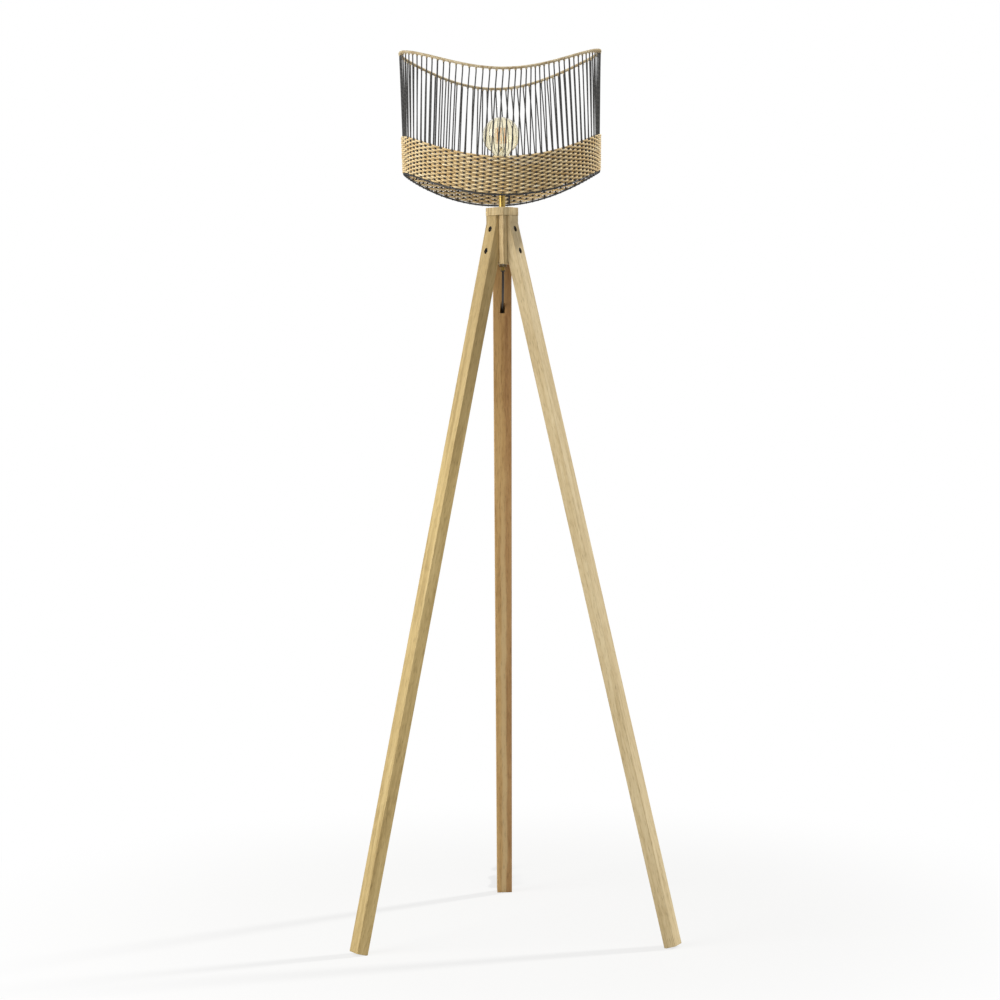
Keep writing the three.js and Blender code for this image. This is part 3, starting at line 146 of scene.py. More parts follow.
def mango_wood(name, pale, middle, dark, shift, top_shade_tint="#ffffff", figure=None):
    """Oiled mango wood, planed and sanded: long soft streaks, small pores along the grain and a low sheen.
    Top shade tint is what the bar's colour is multiplied by in its upper quarter, as painted shade on the
    leg's top. Figure is the brown and the heart colour of a bar sawn near the log's middle"""
    material, add, shader = new_material(name, {"Roughness": 0.55, "Specular IOR Level": 0.35})
    grain = add("Attribute", settings={"attribute_name": "grain"})
    place = add("VectorMath", [grain.outputs["Vector"], shift], "ADD")
    # Streaks 4 to 12 mm wide and 100 to 300 mm long
    long_place = add("Mapping", {"Vector": place, "Scale": (5, 95, 95)})
    streaks = add("TexNoise", {"Vector": long_place, "Scale": 1, "Detail": 5, "Distortion": 0.8})
    # Curl across the grain, in patches 20 mm long
    curl_place = add("Mapping", {"Vector": place, "Scale": (48, 60, 60)})
    curl = add("TexNoise", {"Vector": curl_place, "Scale": 1, "Detail": 3})
    # Fibres and pores, drawn 1.5 mm wide, because the real 0.3 mm is too fine to show in the render
    fine_place = add("Mapping", {"Vector": place, "Scale": (70, 560, 560)})
    fibres = add("TexNoise", {"Vector": fine_place, "Scale": 1, "Detail": 3})
    mixed = add("Mix", {0: 0.18, 2: streaks, 3: curl})
    mixed = add("Mix", {0: 0.3, 2: mixed, 3: fibres})
    tone = add("ValToRGB", [mixed], {"stops": [(0.32, dark), (0.5, middle), (0.68, pale)]})
    along = add("SeparateXYZ", [grain.outputs["Vector"]])
    if figure:
        tone = add_figure(add, along, tone, *figure)
    pores = add("MapRange", [fibres, 0.33, 0.42, 0.82, 1.0])
    toned = add("Mix", {0: 1.0, 6: tone, 7: pores}, MULTIPLIED)
    # Painted shade: the upper quarter of the bar is multiplied by the top shade tint, darker as if in shade
    upper = add("MapRange", [along, 0.75, 1.05, 0.0, 1.0])
    painted_top_shade = add("Mix", {0: upper, 6: "#ffffff", 7: top_shade_tint}, COLOURS)
    tinted = add("Mix", {0: 1.0, 6: toned.outputs[2], 7: painted_top_shade.outputs[2]}, MULTIPLIED)
    bump = add("Bump", {"Strength": 0.35, "Distance": 0.4 * MM, "Height": fibres})
    set_inputs(shader, {"Base Color": tinted.outputs[2], "Normal": bump})
    return material


def finished_mesh(name, work):
    """The mesh that an edited mesh gives"""
    mesh = bpy.data.meshes.new(name)
    work.to_mesh(mesh)
    work.free()
    return mesh


def eased_copy(node, width, shortest=9):
    """A merged copy of a CAD node's mesh, with its edges eased. The shortest of them is given in widths"""
    work = bmesh.new()
    work.from_mesh(frame["nodes"][node].data)
    bmesh.ops.remove_doubles(work, verts=work.verts, dist=0.01 * MM)
    bmesh.ops.dissolve_limit(work, angle_limit=math.radians(1), verts=work.verts, edges=work.edges)
    sharp = math.radians(20)
    edges = [edge for edge in work.edges if edge.is_manifold and edge.calc_length() > shortest * width]
    edges = [edge for edge in edges if edge.calc_face_angle(0) > sharp]
    bmesh.ops.bevel(
        work, geom=edges, offset=width, segments=2, profile=0.5, affect="EDGES", clamp_overlap=False
    )
    bmesh.ops.triangulate(work, faces=[face for face in work.faces if len(face.verts) > 4])
    return finished_mesh(node + "_eased", work)


def mark_grain(mesh, along, across):
    """Stores each point's place along, across and out of the grain, in metres"""
    out = along.cross(across)
    marks = mesh.attributes.new("grain", "FLOAT_VECTOR", "POINT")
    for mark, vertex in zip(marks.data, mesh.vertices):
        mark.vector = (vertex.co.dot(along), vertex.co.dot(across), vertex.co.dot(out))


def add_object(name, data):
    """A new object in the scene"""
    made = bpy.data.objects.new(name, data)
    bpy.context.scene.collection.objects.link(made)
    return made


def add_piece(name, mesh, material, body, slot, *nodes):
    """A finished piece: its mesh and material, its body, and the CAD nodes it stands for. Slot is not used
    """
    made = add_object(name, mesh)
    if material:
        mesh.materials.clear()
        mesh.materials.append(material)
    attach(made, body)
    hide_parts(*nodes)


def outward_from(side):
    """The level direction in which a leg goes out from the lamp's axis"""
    turn = math.radians(LEG_TURNS[side])
    return Vector((math.cos(turn), math.sin(turn), 0))


# Each leg is from a board of its own: the left one yellower, the right one paler, and the rear one browner
# with a pale heart stripe. The left and rear legs are a little darker in their upper quarter, which is
# painted shade
leg_woods = {
    "left": mango_wood("Mango wood, left leg", "#dec58b", "#cbb177", "#ac915a", (0.0, 0.0, 0.0), "#e8e6e8"),
    "right": mango_wood("Mango wood, right leg", "#dac89f", "#cbb68a", "#b0996b", (3.1, 0.4, 0.2)),
    "rear": mango_wood(
        "Mango wood, rear leg", "#d8b67c", "#c8a26a", "#a47d49", (6.7, 0.9, 0.5), "#eeebea",
        ("#e6dddb", "#d6ba88"),
    ),
}
for side in LEG_TURNS:
    outward = outward_from(side)
    leg_mesh = eased_copy("leg_" + side, LEG_EASE, LEG_SHORTEST_EASED)
    mark_grain(leg_mesh, UP * math.cos(LEG_LEAN) - outward * math.sin(LEG_LEAN), UP.cross(outward))
    add_piece("wooden_leg_" + side, leg_mesh, leg_woods[side], "lamp_base", "leg_wood", "leg_" + side)

# Hub
# A core with three flat seats that the legs are bolted to and a ridge between them, and a wider cap glued
# over the leg tops. Both are sawn from one bar of mango wood, so the grain runs upright in them.
HUB_EASE = 0.6 * MM

hub_wood = mango_wood("Mango wood, hub", "#e4d2a8", "#d3bc8c", "#b49666", (1.7, 2.2, 0.3))
for node in ("hub_core", "hub_cap"):
    hub_mesh = eased_copy(node, HUB_EASE)
    mark_grain(hub_mesh, UP, Vector((1, 0, 0)))
    add_piece("wooden_" + node, hub_mesh, hub_wood, "lamp_base", "hub_wood", node)

# Leg bolts
# Six button-head bolts of black oxide steel, two through each leg, turned tight with a hex key until their
# heads sit just under the wood's face.
AXIS_Y = -72.7077 * MM
AXIS = Vector((0, AXIS_Y, 0))
BOLT_PROFILE = [(4.4, 0), (4.85, 0.5), (4.75, 1.3), (4.3, 2.1), (3.5, 2.75), (2.7, 3.0)]
SOCKET_PROFILE = [(2.2, 2.75), (2.05, 1.4)]
SOCKET_BOTTOM = 1.0
BOLT_SIDES = 24
BOLT_SEAT_DEPTH = 4.4
BOLT_HEIGHTS = (1200, 1238)
HOLE_RADIUS = 5.4
HOLE_DEPTH_MIN = 0.8
OUTER_TOP_REACH = 23
OUTER_TOP_HEIGHT = 1248
OUTER_FOOT_REACH = 321.815
OUTER_FOOT_HEIGHT = 4.966
OUTER_SLOPE = (OUTER_FOOT_REACH - OUTER_TOP_REACH) / (OUTER_TOP_HEIGHT - OUTER_FOOT_HEIGHT)


def outer_reach(height):
    """How far a leg's outer face is from the lamp's axis, in mm"""
    return OUTER_TOP_REACH + (OUTER_TOP_HEIGHT - height) * OUTER_SLOPE


def ring_points(reaches, angles, height):
    """Points in mm at reaches and angles round an upright axis"""
    return [
        (reach * math.cos(angle), reach * math.sin(angle), height) for reach, angle in zip(reaches, angles)
    ]


def lofted_mesh(name, rings, place=None, sharp=35):
    """A mesh through rings of points in mm. One point is a pole, and a last ring like the first closes
    the mesh on itself"""
    work = bmesh.new()
    closed = len(rings[0]) > 1 and rings[0] == rings[-1]
    if closed:
        rings = rings[:-1]
    made = [[work.verts.new(Vector(point) * MM) for point in ring] for ring in rings]
    pairs = list(zip(made, made[1:])) + ([(made[-1], made[0])] if closed else [])
    for low, high in pairs:
        for i in range(max(len(low), len(high))):
            corners = [
                low[i % len(low)], low[(i + 1) % len(low)], high[(i + 1) % len(high)], high[i % len(high)],
            ]
            corners = list(dict.fromkeys(corners))
            if len(corners) > 2:
                work.faces.new(corners)
    if place:
        bmesh.ops.transform(work, matrix=place, verts=work.verts)
    bmesh.ops.recalc_face_normals(work, faces=work.faces)
    mesh = finished_mesh(name, work)
    mesh.shade_smooth()
    mesh.set_sharp_from_angle(angle=math.radians(sharp))
    return mesh


SOCKET_KINDS = {int: "Int", float: "Float", bpy.types.Material: "Material", bpy.types.Object: "Object"}


def new_tree(name, values):
    """A Geometry Nodes tree with an input for each value, those sockets, and what adds a node to it"""
    tree = bpy.data.node_groups.new(name, "GeometryNodeTree")
    tree.interface.new_socket("Geometry", in_out="INPUT", socket_type="NodeSocketGeometry")
    for label, value in values.items():
        kind = "NodeSocket" + SOCKET_KINDS[type(value)]
        tree.interface.new_socket(label, in_out="INPUT", socket_type=kind)
    tree.interface.new_socket("Geometry", in_out="OUTPUT", socket_type="NodeSocketGeometry")
    return tree, tree.nodes.new("NodeGroupInput").outputs, partial(add_node, tree)


def end_tree(add, shape, material):
    """Ends a tree: real, smooth, and in its material"""
    real = add("RealizeInstances", {"Geometry": shape})
    smooth = add("SetShadeSmooth", {"Geometry": real})
    finished = add("SetMaterial", {"Geometry": smooth, "Material": material})
    set_inputs(finished.id_data.nodes.new("NodeGroupOutput"), {"Geometry": finished})


def shown_mesh(name, holder):
    """The plain mesh that an object shows. The object is removed"""
    mesh = bpy.data.meshes.new_from_object(holder.evaluated_get(bpy.context.evaluated_depsgraph_get()))
    mesh.name = name
    bpy.data.objects.remove(holder)
    return mesh


def grown_mesh(name, tree, values, start=None):
    """The plain mesh that a tree makes with these values"""
    holder = add_object(name, start or bpy.data.meshes.new(name))
    modifier = holder.modifiers.new("Grow", "NODES")
    modifier.node_group = tree
    for item in tree.interface.items_tree:
        if item.in_out == "INPUT" and item.name in values:
            modifier[item.identifier] = values[item.name]
    return shown_mesh(name, holder)


def metal(name, colour, roughness, variation, metallic=1.0):
    """A metal with faint smudges about 5 mm wide in its roughness"""
    material, add, shader = new_material(name, {"Base Color": colour, "Metallic": metallic})
    place = add("TexCoord")
    smudges = add("TexNoise", {"Vector": place.outputs["Object"], "Scale": 200, "Detail": 3})
    low = roughness - variation / 2
    high = roughness + variation / 2
    rough = add("MapRange", [smudges, 0.3, 0.7, low, high])
    set_inputs(shader, {"Roughness": rough})
    return material


# Black oxide on steel: a dark skin with a dull metal gleam
black_oxide = metal("Black oxide steel", "#3a3836", 0.42, 0.12)

# Painted shade in the bolt holes: the wood inside each hole, all round each bolt head, is drawn dark brown
# and dull, as the hole's shadow
bolt_hole_shade, _, _ = new_material("Mango wood, painted bolt hole shade", {"Base Color": "#33271c", "Roughness": 0.85})
for side in LEG_TURNS:
    outward = outward_from(side)
    leg_mesh = bpy.data.objects["wooden_leg_" + side].data
    leg_mesh.materials.append(bolt_hole_shade)
    for face in leg_mesh.polygons:
        spot = (face.center - AXIS) / MM
        depth = outer_reach(spot.z) - spot.dot(outward)
        aside = spot.dot(UP.cross(outward))
        away = min(math.hypot(aside, spot.z - height) for height in BOLT_HEIGHTS)
        # The faces inside each bolt hole get the painted shade
        if depth > HOLE_DEPTH_MIN and away < HOLE_RADIUS:
            face.material_index = 1

around = [2 * math.pi * (i + 0.5) / BOLT_SIDES for i in range(BOLT_SIDES)]
hexagon = [math.cos(math.pi / 6) / math.cos((a % (math.pi / 3)) - math.pi / 6) for a in around]
bolt_rings = [[(0, 0, 0)]]
bolt_rings += [ring_points([radius] * BOLT_SIDES, around, height) for radius, height in BOLT_PROFILE]
bolt_rings += [
    ring_points([radius * h for h in hexagon], around, height) for radius, height in SOCKET_PROFILE
]
bolt_rings.append([(0, 0, SOCKET_BOTTOM)])
bolt_head = bpy.data.objects.new("bolt_head", lofted_mesh("bolt_head", bolt_rings))

bolt_values = {
    "Bolt head": bolt_head, "Lower height": BOLT_HEIGHTS[0] * MM, "Upper height": BOLT_HEIGHTS[1] * MM,
    "Lower reach": (outer_reach(BOLT_HEIGHTS[0]) - BOLT_SEAT_DEPTH) * MM,
    "Upper reach": (outer_reach(BOLT_HEIGHTS[1]) - BOLT_SEAT_DEPTH) * MM,
    "First turn": math.radians(LEG_TURNS["rear"]), "Axis Y": AXIS_Y, "Material": black_oxide,
}
tree, given, add = new_tree("Leg bolts", bolt_values)
row = add("MeshLine", {"Count": len(LEG_TURNS) * len(BOLT_HEIGHTS)})
index = add("InputIndex")
rank = add("Math", [index, 2.0], "MODULO")
leg = add("Math", [index, 0.5], "MULTIPLY")
leg = add("Math", [leg], "FLOOR")
turned = add("Math", [leg, math.radians(120), given["First turn"]], "MULTIPLY_ADD")
height = add("Mix", {0: rank, 2: given["Lower height"], 3: given["Upper height"]})
far = add("Mix", {0: rank, 2: given["Lower reach"], 3: given["Upper reach"]})
cosine = add("Math", [turned], "COSINE")
sine = add("Math", [turned], "SINE")
bolt_x = add("Math", [cosine, far], "MULTIPLY")
bolt_y = add("Math", [sine, far, given["Axis Y"]], "MULTIPLY_ADD")
spot = add("CombineXYZ", [bolt_x, bolt_y, height])
spots = add("SetPosition", {"Geometry": row, "Position": spot})
aim = add("CombineXYZ", {1: math.pi / 2, 2: turned})
head = add("ObjectInfo", {"Object": given["Bolt head"]})
bolts = add("InstanceOnPoints", {"Points": spots, "Instance": head.outputs["Geometry"], "Rotation": aim})
end_tree(add, bolts, given["Material"])
bolt_nodes = [f"leg_bolt_{side}_{rank}" for side in LEG_TURNS for rank in ("upper", "lower")]
bolt_mesh = grown_mesh("leg_bolts", tree, bolt_values)
add_piece("leg_bolts", bolt_mesh, None, "lamp_base", "bolt_black", *bolt_nodes)

# Pipe and its fittings
# A threaded brass lamp pipe runs through the hub. A smooth brass sleeve covers it up to the lampholder, and
# below the hub a washer and a hexagon nut of nickel-plated steel pull it tight. A black bush guards the
# cord at its end.
PIPE_BOTTOM = 1166.2
PIPE_TOP = 1308.9
PIPE_RADIUS = 3.9
PIPE_THREAD = 0.35
PIPE_PITCH = 1.4
PLAIN_BOTTOM = 1187
PLAIN_TOP = 1303.5


def add_turned(name, profile, material, body, slot, node, sides=64, ripple=None, place=None):
    """A turned piece from an outline of points (radius, height) in mm, which is closed where it starts
    off the axis. Ripple gives a change of radius at an angle and height"""
    if profile[0][0]:
        profile = profile + profile[:1]
    turns = [2 * math.pi * i / sides for i in range(sides)]
    rings = []
    for radius, height in profile:
        if radius == 0:
            rings.append([(0, 0, height)])
            continue
        reaches = [radius + (ripple(a, height, radius) if ripple else 0) for a in turns]
        rings.append(ring_points(reaches, turns, height))
    mesh = lofted_mesh(name, rings, place or Matrix.Translation(AXIS))
    add_piece(name, mesh, material, body, slot, node)


def climbing(start, end, steps, radius):
    """Points of a straight turned wall, close enough together to carry a thread"""
    return [(radius, start + (end - start) * i / steps) for i in range(steps + 1)]


def pipe_thread(angle, height, radius):
    """The pipe's rolled thread, on its outside below the hub and at its top end"""
    if radius < PIPE_RADIUS or PLAIN_BOTTOM < height < PLAIN_TOP:
        return 0
    return -PIPE_THREAD * (0.5 - 0.5 * math.cos(2 * math.pi * height / PIPE_PITCH - angle))


# Lacquered brass, polished: a pale yellow with clear reflections
brass = metal("Lacquered brass", "#a1884a", 0.3, 0.1)
# Nickel-plated steel: a slightly warm grey, bright but not a mirror
plated_steel = metal("Nickel-plated steel", "#bdb8ac", 0.28, 0.1)

pipe_outline = [(2.7, PIPE_TOP), (2.7, PIPE_BOTTOM), (3.5, PIPE_BOTTOM)]
pipe_outline += climbing(PIPE_BOTTOM + 0.3, PLAIN_BOTTOM + 0.5, 122, PIPE_RADIUS)
pipe_outline += climbing(PLAIN_TOP - 0.5, PIPE_TOP, 34, PIPE_RADIUS)
add_turned("threaded_lamp_pipe", pipe_outline, brass, "lamp_base", "brass", "lamp_pipe", 32, pipe_thread)
sleeve_outline = [(4.2, 1275.6), (5.4, 1275.6), (5.7, 1275.9), (5.7, 1302.3), (5.4, 1302.6), (4.2, 1302.6)]
add_turned("brass_sleeve", sleeve_outline, brass, "lamp_base", "brass", "pipe_sleeve")
washer_outline = [(4.2, 1175.7), (6.8, 1175.7), (7.0, 1175.9), (7.0, 1176.5), (6.8, 1176.7), (4.2, 1176.7)]
add_turned("steel_washer", washer_outline, plated_steel, "lamp_base", "plated_steel", "pipe_washer", 48)
nut_mesh = eased_copy("pipe_nut", 0.35 * MM)
add_piece("hexagon_nut", nut_mesh, plated_steel, "lamp_base", "plated_steel", "pipe_nut")


def moulded(name, colour, roughness, grit):
    """A moulded or coated surface with a fine texture. Grit is the width of its bumps in mm, drawn wider
    than on the real piece so that they show"""
    material, add, shader = new_material(name, {"Base Color": colour, "IOR": 1.5})
    place = add("TexCoord")
    texture = add("TexNoise", {"Vector": place.outputs["Object"], "Scale": 1 / (grit * MM), "Detail": 2})
    rough = add("MapRange", [texture, 0.3, 0.7, roughness - 0.06, roughness + 0.06])
    bump = add("Bump", {"Strength": 0.2, "Distance": 0.1 * MM, "Height": texture})
    set_inputs(shader, {"Roughness": rough, "Normal": bump})
    return material


# Black phenolic moulding: near black, with a soft sheen
black_moulding = moulded("Black phenolic moulding", "#1d1b1a", 0.38, 0.8)
bush_outline = [(2.3, 1164.4), (3.5, 1164.4), (4.1, 1165.0), (4.1, 1165.9), (2.3, 1165.9)]
add_turned("cord_bush", bush_outline, black_moulding, "lamp_base", "black_moulding", "pipe_bush", 32)

# Lampholder
# A spun brass cup screws onto the pipe and closes a black phenolic body with a shoulder and a coarse
# outside thread. Inside, a white ceramic block carries the brass screw shell and the centre contact.
HOLDER_RADIUS = 19.5
HOLDER_BORE = 17.3
SHOULDER_TOP = 1334.2
HOLDER_THREAD = 0.6
HOLDER_THREAD_TOP = 1355.5
HOLDER_PITCH = 2.5
HOLDER_RIBS = 36


def holder_thread(angle, height, radius):
    """The coarse moulded thread above the shoulder, which the ring nut runs on"""
    if radius != HOLDER_RADIUS or not SHOULDER_TOP + 1 < height < HOLDER_THREAD_TOP:
        return 0
    return -HOLDER_THREAD * (0.5 - 0.5 * math.cos(2 * math.pi * height / HOLDER_PITCH - angle))


cup_outline = [
    (4.2, 1302.9), (7.6, 1302.9), (8.0, 1303.3), (8.0, 1306.4), (8.8, 1307.3), (11.2, 1308.9),
    (14.0, 1310.9), (17.2, 1313.5), (18.9, 1315.2), (19.5, 1317.0), (19.5, 1319.6), (19.2, 1319.9),
    (18.2, 1319.9), (17.9, 1317.4), (16.6, 1315.2), (13.4, 1312.5), (10.4, 1310.2), (8.0, 1308.5),
    (4.2, 1308.4),
]
add_turned("holder_cup", cup_outline, brass, "lamp_base", "brass", "lampholder_cup")
body_outline = [
    (HOLDER_BORE, 1320.2), (19.1, 1320.2), (HOLDER_RADIUS, 1320.6), (HOLDER_RADIUS, 1331.6), (19.9, 1332.2),
    (22.6, 1332.2), (23.0, 1332.6), (23.0, 1333.8), (22.6, SHOULDER_TOP),
    (HOLDER_RADIUS + 0.01, SHOULDER_TOP),
]
body_outline += climbing(SHOULDER_TOP + 0.4, HOLDER_THREAD_TOP + 0.3, 86, HOLDER_RADIUS)
body_outline += [(19.1, 1356.2), (HOLDER_BORE, 1356.2)]
add_turned(
    "holder_body", body_outline, black_moulding, "lamp_base", "black_moulding", "lampholder_body",
    ripple=holder_thread,
)

rib_values = {
    "Count": HOLDER_RIBS, "Radius": HOLDER_RADIUS * MM, "Rib radius": 0.5 * MM, "Bottom": 1321.5 * MM,
    "Top": 1331.2 * MM, "Axis Y": AXIS_Y, "Material": black_moulding,
}
grip_ribs, given, add = new_tree("Grip ribs", rib_values)
spots = add("MeshCircle", {"Vertices": given["Count"], "Radius": given["Radius"]})
rib_low = add("CombineXYZ", {2: given["Bottom"]})
rib_high = add("CombineXYZ", {2: given["Top"]})
rib_line = add("CurvePrimitiveLine", {"Start": rib_low, "End": rib_high})
rib_line = add("ResampleCurve", {"Curve": rib_line, "Count": 8})
along = add("SplineParameter")
# The ribs are rounded off at both ends
middle = add("Math", [along, 2.0, -1.0], "MULTIPLY_ADD")
bulge = add("Math", [middle], "ABSOLUTE")
bulge = add("Math", [bulge, 6.0], "POWER")
bulge = add("Math", [bulge, -0.6, 1.0], "MULTIPLY_ADD")
rib_size = add("Math", [bulge, given["Rib radius"]], "MULTIPLY")
rib_section = add("CurvePrimitiveCircle", {"Resolution": 8, "Radius": 1.0})
rib = add(
    "CurveToMesh", {"Curve": rib_line, "Profile Curve": rib_section, "Scale": rib_size, "Fill Caps": True},
)
ribs = add("InstanceOnPoints", {"Points": spots, "Instance": rib})
shift = add("CombineXYZ", {1: given["Axis Y"]})
ribs = add("Transform", {"Geometry": ribs, "Translation": shift})
end_tree(add, ribs, given["Material"])
rib_mesh = grown_mesh("holder_grip_ribs", grip_ribs, rib_values)
add_piece("holder_grip_ribs", rib_mesh, None, "lamp_base", "black_moulding", "lampholder_body")


def dress_node(node, material):
    """Gives a CAD node that stays as it is its material"""
    for slot in frame["nodes"][node].material_slots:
        slot.material = material


# Steatite ceramic, unglazed: an even off-white with a fine grain
ceramic = moulded("Steatite ceramic", "#e4ddd0", 0.6, 0.5)
dress_node("lampholder_insulator", ceramic)
dress_node("lampholder_screw_shell", brass)
dress_node("lampholder_contact", brass)

# Switch
# A small rotary switch in the lampholder's body: a brass spindle, and a fluted knob of black phenolic
# pushed onto it.
KNOB_START = 19.8
KNOB_HEIGHT = 1325.9
KNOB_FLUTES = 14
FLUTE_DEPTH = 0.35

knob_outline = [
    (2.1, 0), (4.3, 0), (4.8, 0.5), (5.0, 1.2), (5.0, 9.6), (4.7, 10.8), (3.9, 11.6), (2.6, 12.0),
    (0, 11.8), (2.1, 8.0),
]
knob_place = Matrix.Translation((KNOB_START * MM, AXIS_Y, KNOB_HEIGHT * MM))
knob_place @= Matrix.Rotation(math.pi / 2, 4, "Y")


def knob_flutes(angle, height, radius):
    """Shallow flutes along the knob's side, for the fingers"""
    if radius < 4.75:
        return 0
    return -FLUTE_DEPTH * (0.5 - 0.5 * math.cos(KNOB_FLUTES * angle))


add_turned(
    "switch_knob_fluted", knob_outline, black_moulding, "switch", "black_moulding", "switch_knob",
    KNOB_FLUTES * 6, knob_flutes, knob_place,
)
dress_node("switch_spindle", brass)

# Bulb
# A globe filament bulb: blown glass with a faint amber coat, a pressed stem, a cage of carbon filament on
# fine wires, and a nickel-plated screw cap with a black glass seal and a centre tip.
GLOBE_CENTRE = 1400.0
GLOBE_RADIUS = 32.5
GLASS_WALL = 1.0
GLASS_BOTTOM = 1345.8
BULB_NECK = 12.4
CAP_BOTTOM = 1337.8
CAP_TOP = 1359.8
CAP_RADIUS = 13.1
CAP_BORE = 11.95
CAP_PITCH = 3.63
CAP_THREAD = 0.7
CAP_THREAD_BOTTOM = CAP_BOTTOM + 2.6
STEM_TOP = 1379.8
FILAMENT_CIRCLE = 9
FILAMENT_LENGTH = 26
FILAMENT_DROPS = 8


def bulb_outline(inset):
    """The bulb's outline: a straight neck, a soft flare and the globe. Inset is in mm"""
    globe = GLOBE_RADIUS - inset
    neck = BULB_NECK - inset
    flare = math.asin((neck + GLOBE_RADIUS / 6) / globe)
    meet = GLOBE_CENTRE - globe * math.cos(flare)
    outline = [(neck, GLASS_BOTTOM), (neck, meet - 13), (neck + 0.25, meet - 9.5), (neck + 1.0, meet - 6.2)]
    outline += [(neck + 2.2, meet - 3.6), (neck + 3.7, meet - 1.5)]
    for i in range(31):
        angle = flare + (math.pi - flare) * i / 30
        outline.append((0 if i == 30 else globe * math.sin(angle), GLOBE_CENTRE - globe * math.cos(angle)))
    return outline


def clear_glass(name, colour, ior):
    """Clear blown glass. Its coat is too thin to see through a solid, so its colour sits on the surface"""
    material, add, shader = new_material(
        name, {"Base Color": colour, "Roughness": 0.0, "IOR": ior, "Transmission Weight": 1.0}
    )
    place = add("TexCoord")
    # Soft waves in the blown wall, about 15 mm apart
    waves = add("TexNoise", {"Vector": place.outputs["Object"], "Scale": 65, "Detail": 1})
    bump = add("Bump", {"Strength": 0.15, "Distance": 1 * MM, "Height": waves})
    set_inputs(shader, {"Normal": bump})
    return material


# Amber-coated glass: nearly clear, a warm straw colour where the wall is seen at an angle
amber_glass = clear_glass("Amber-coated bulb glass", "#faf5e2", 1.47)
# Clear glass, drawn and pressed: colourless, with bright edges
stem_glass = clear_glass("Clear stem glass", "#f2f2ec", 1.5)

glass_outline = bulb_outline(0) + bulb_outline(GLASS_WALL)[::-1]
add_turned("bulb_globe", glass_outline, amber_glass, "bulb", "bulb_glass", "bulb_glass")
stem_outline = [
    (0, GLASS_BOTTOM), (11.1, GLASS_BOTTOM), (9.4, 1346.8), (6.2, 1349.4), (4.0, 1352.6), (3.0, 1356.5),
    (2.6, 1366), (3.0, 1373), (2.2, 1375.5), (2.0, 1378.2), (1.6, STEM_TOP - 0.3), (0, STEM_TOP),
]
add_turned("bulb_stem_glass", stem_outline, stem_glass, "bulb", "bulb_glass", "bulb_stem", 32)


def cap_thread(angle, height, radius):
    """The rolled round thread of the screw cap"""
    if radius < CAP_RADIUS - 0.5 or not CAP_THREAD_BOTTOM < height < CAP_TOP - 4:
        return 0
    return -CAP_THREAD * (0.5 - 0.5 * math.cos(2 * math.pi * height / CAP_PITCH - angle))


cap_outline = [(5.0, CAP_BOTTOM), (10.0, CAP_BOTTOM), (11.9, 1338.8)]
cap_outline += climbing(CAP_THREAD_BOTTOM, CAP_TOP, 70, CAP_RADIUS)
cap_outline += climbing(CAP_TOP, CAP_BOTTOM + 2.9, 2, CAP_BORE)
cap_outline += [(9.6, CAP_BOTTOM + 0.4), (5.0, CAP_BOTTOM + 0.4)]
add_turned("bulb_screw_cap", cap_outline, plated_steel, "bulb", "bulb_metal", "bulb_cap", ripple=cap_thread)
dress_node("bulb_tip", plated_steel)
# Vitrite, the black glass that holds the tip in the cap: shiny and dense
seal_glass = moulded("Black vitrite glass", "#151316", 0.2, 3.0)
dress_node("bulb_insulator", seal_glass)


def round_curve(name, lines, radius, resolution):
    """A curve object along lines of points in metres, which shows round wire with closed ends"""
    curve = bpy.data.curves.new(name, "CURVE")
    curve.dimensions = "3D"
    curve.bevel_depth = radius * MM
    curve.bevel_resolution = resolution
    curve.use_fill_caps = True
    for line in lines:
        spline = curve.splines.new("POLY")
        spline.points.add(len(line) - 1)
        for point, place in zip(spline.points, line):
            point.co = (*place, 1)
    return add_object(name, curve)


def wire_mesh(name, lines, radius, resolution=1):
    """Round wire along lines of points in mm, as one mesh"""
    lines = [[(x * MM, y * MM + AXIS_Y, z * MM) for x, y, z in line] for line in lines]
    mesh = shown_mesh(name, round_curve(name, lines, radius, resolution))
    mesh.shade_smooth()
    mesh.set_sharp_from_angle(angle=math.radians(50))
    return mesh


cage_low = GLOBE_CENTRE - FILAMENT_LENGTH / 2
cage_high = GLOBE_CENTRE + FILAMENT_LENGTH / 2
cage = []
hooks = [[(0, 0, STEM_TOP - 2), (0, 0, cage_high)]]
for i in range(FILAMENT_DROPS):
    turn = 2 * math.pi * i / FILAMENT_DROPS
    x = FILAMENT_CIRCLE * math.cos(turn)
    y = FILAMENT_CIRCLE * math.sin(turn)
    ends = (cage_low, cage_high) if i % 2 else (cage_high, cage_low)
    cage += [(x, y, ends[0]), (x, y, ends[1])]
    for end in ends:
        foot = STEM_TOP - 1 if end == cage_low else cage_high
        hooks.append([(0, 0, foot), (x * 0.5, y * 0.5, end * 0.6 + foot * 0.4), (x * 0.96, y * 0.96, end)])
# Carbonised filament: glossy amber brown, as it looks unlit in the coated globe
filament = metal("Amber filament", "#e0a25c", 0.35, 0.1, 0.6)
cage_mesh = wire_mesh("bulb_filament_cage", [cage], 0.5)
add_piece("bulb_filament_cage", cage_mesh, filament, "bulb", "filament", "bulb_filament")
hook_mesh = wire_mesh("bulb_filament_hooks", hooks, 0.22)
add_piece("bulb_filament_hooks", hook_mesh, plated_steel, "bulb", "bulb_metal", "bulb_filament_holder")

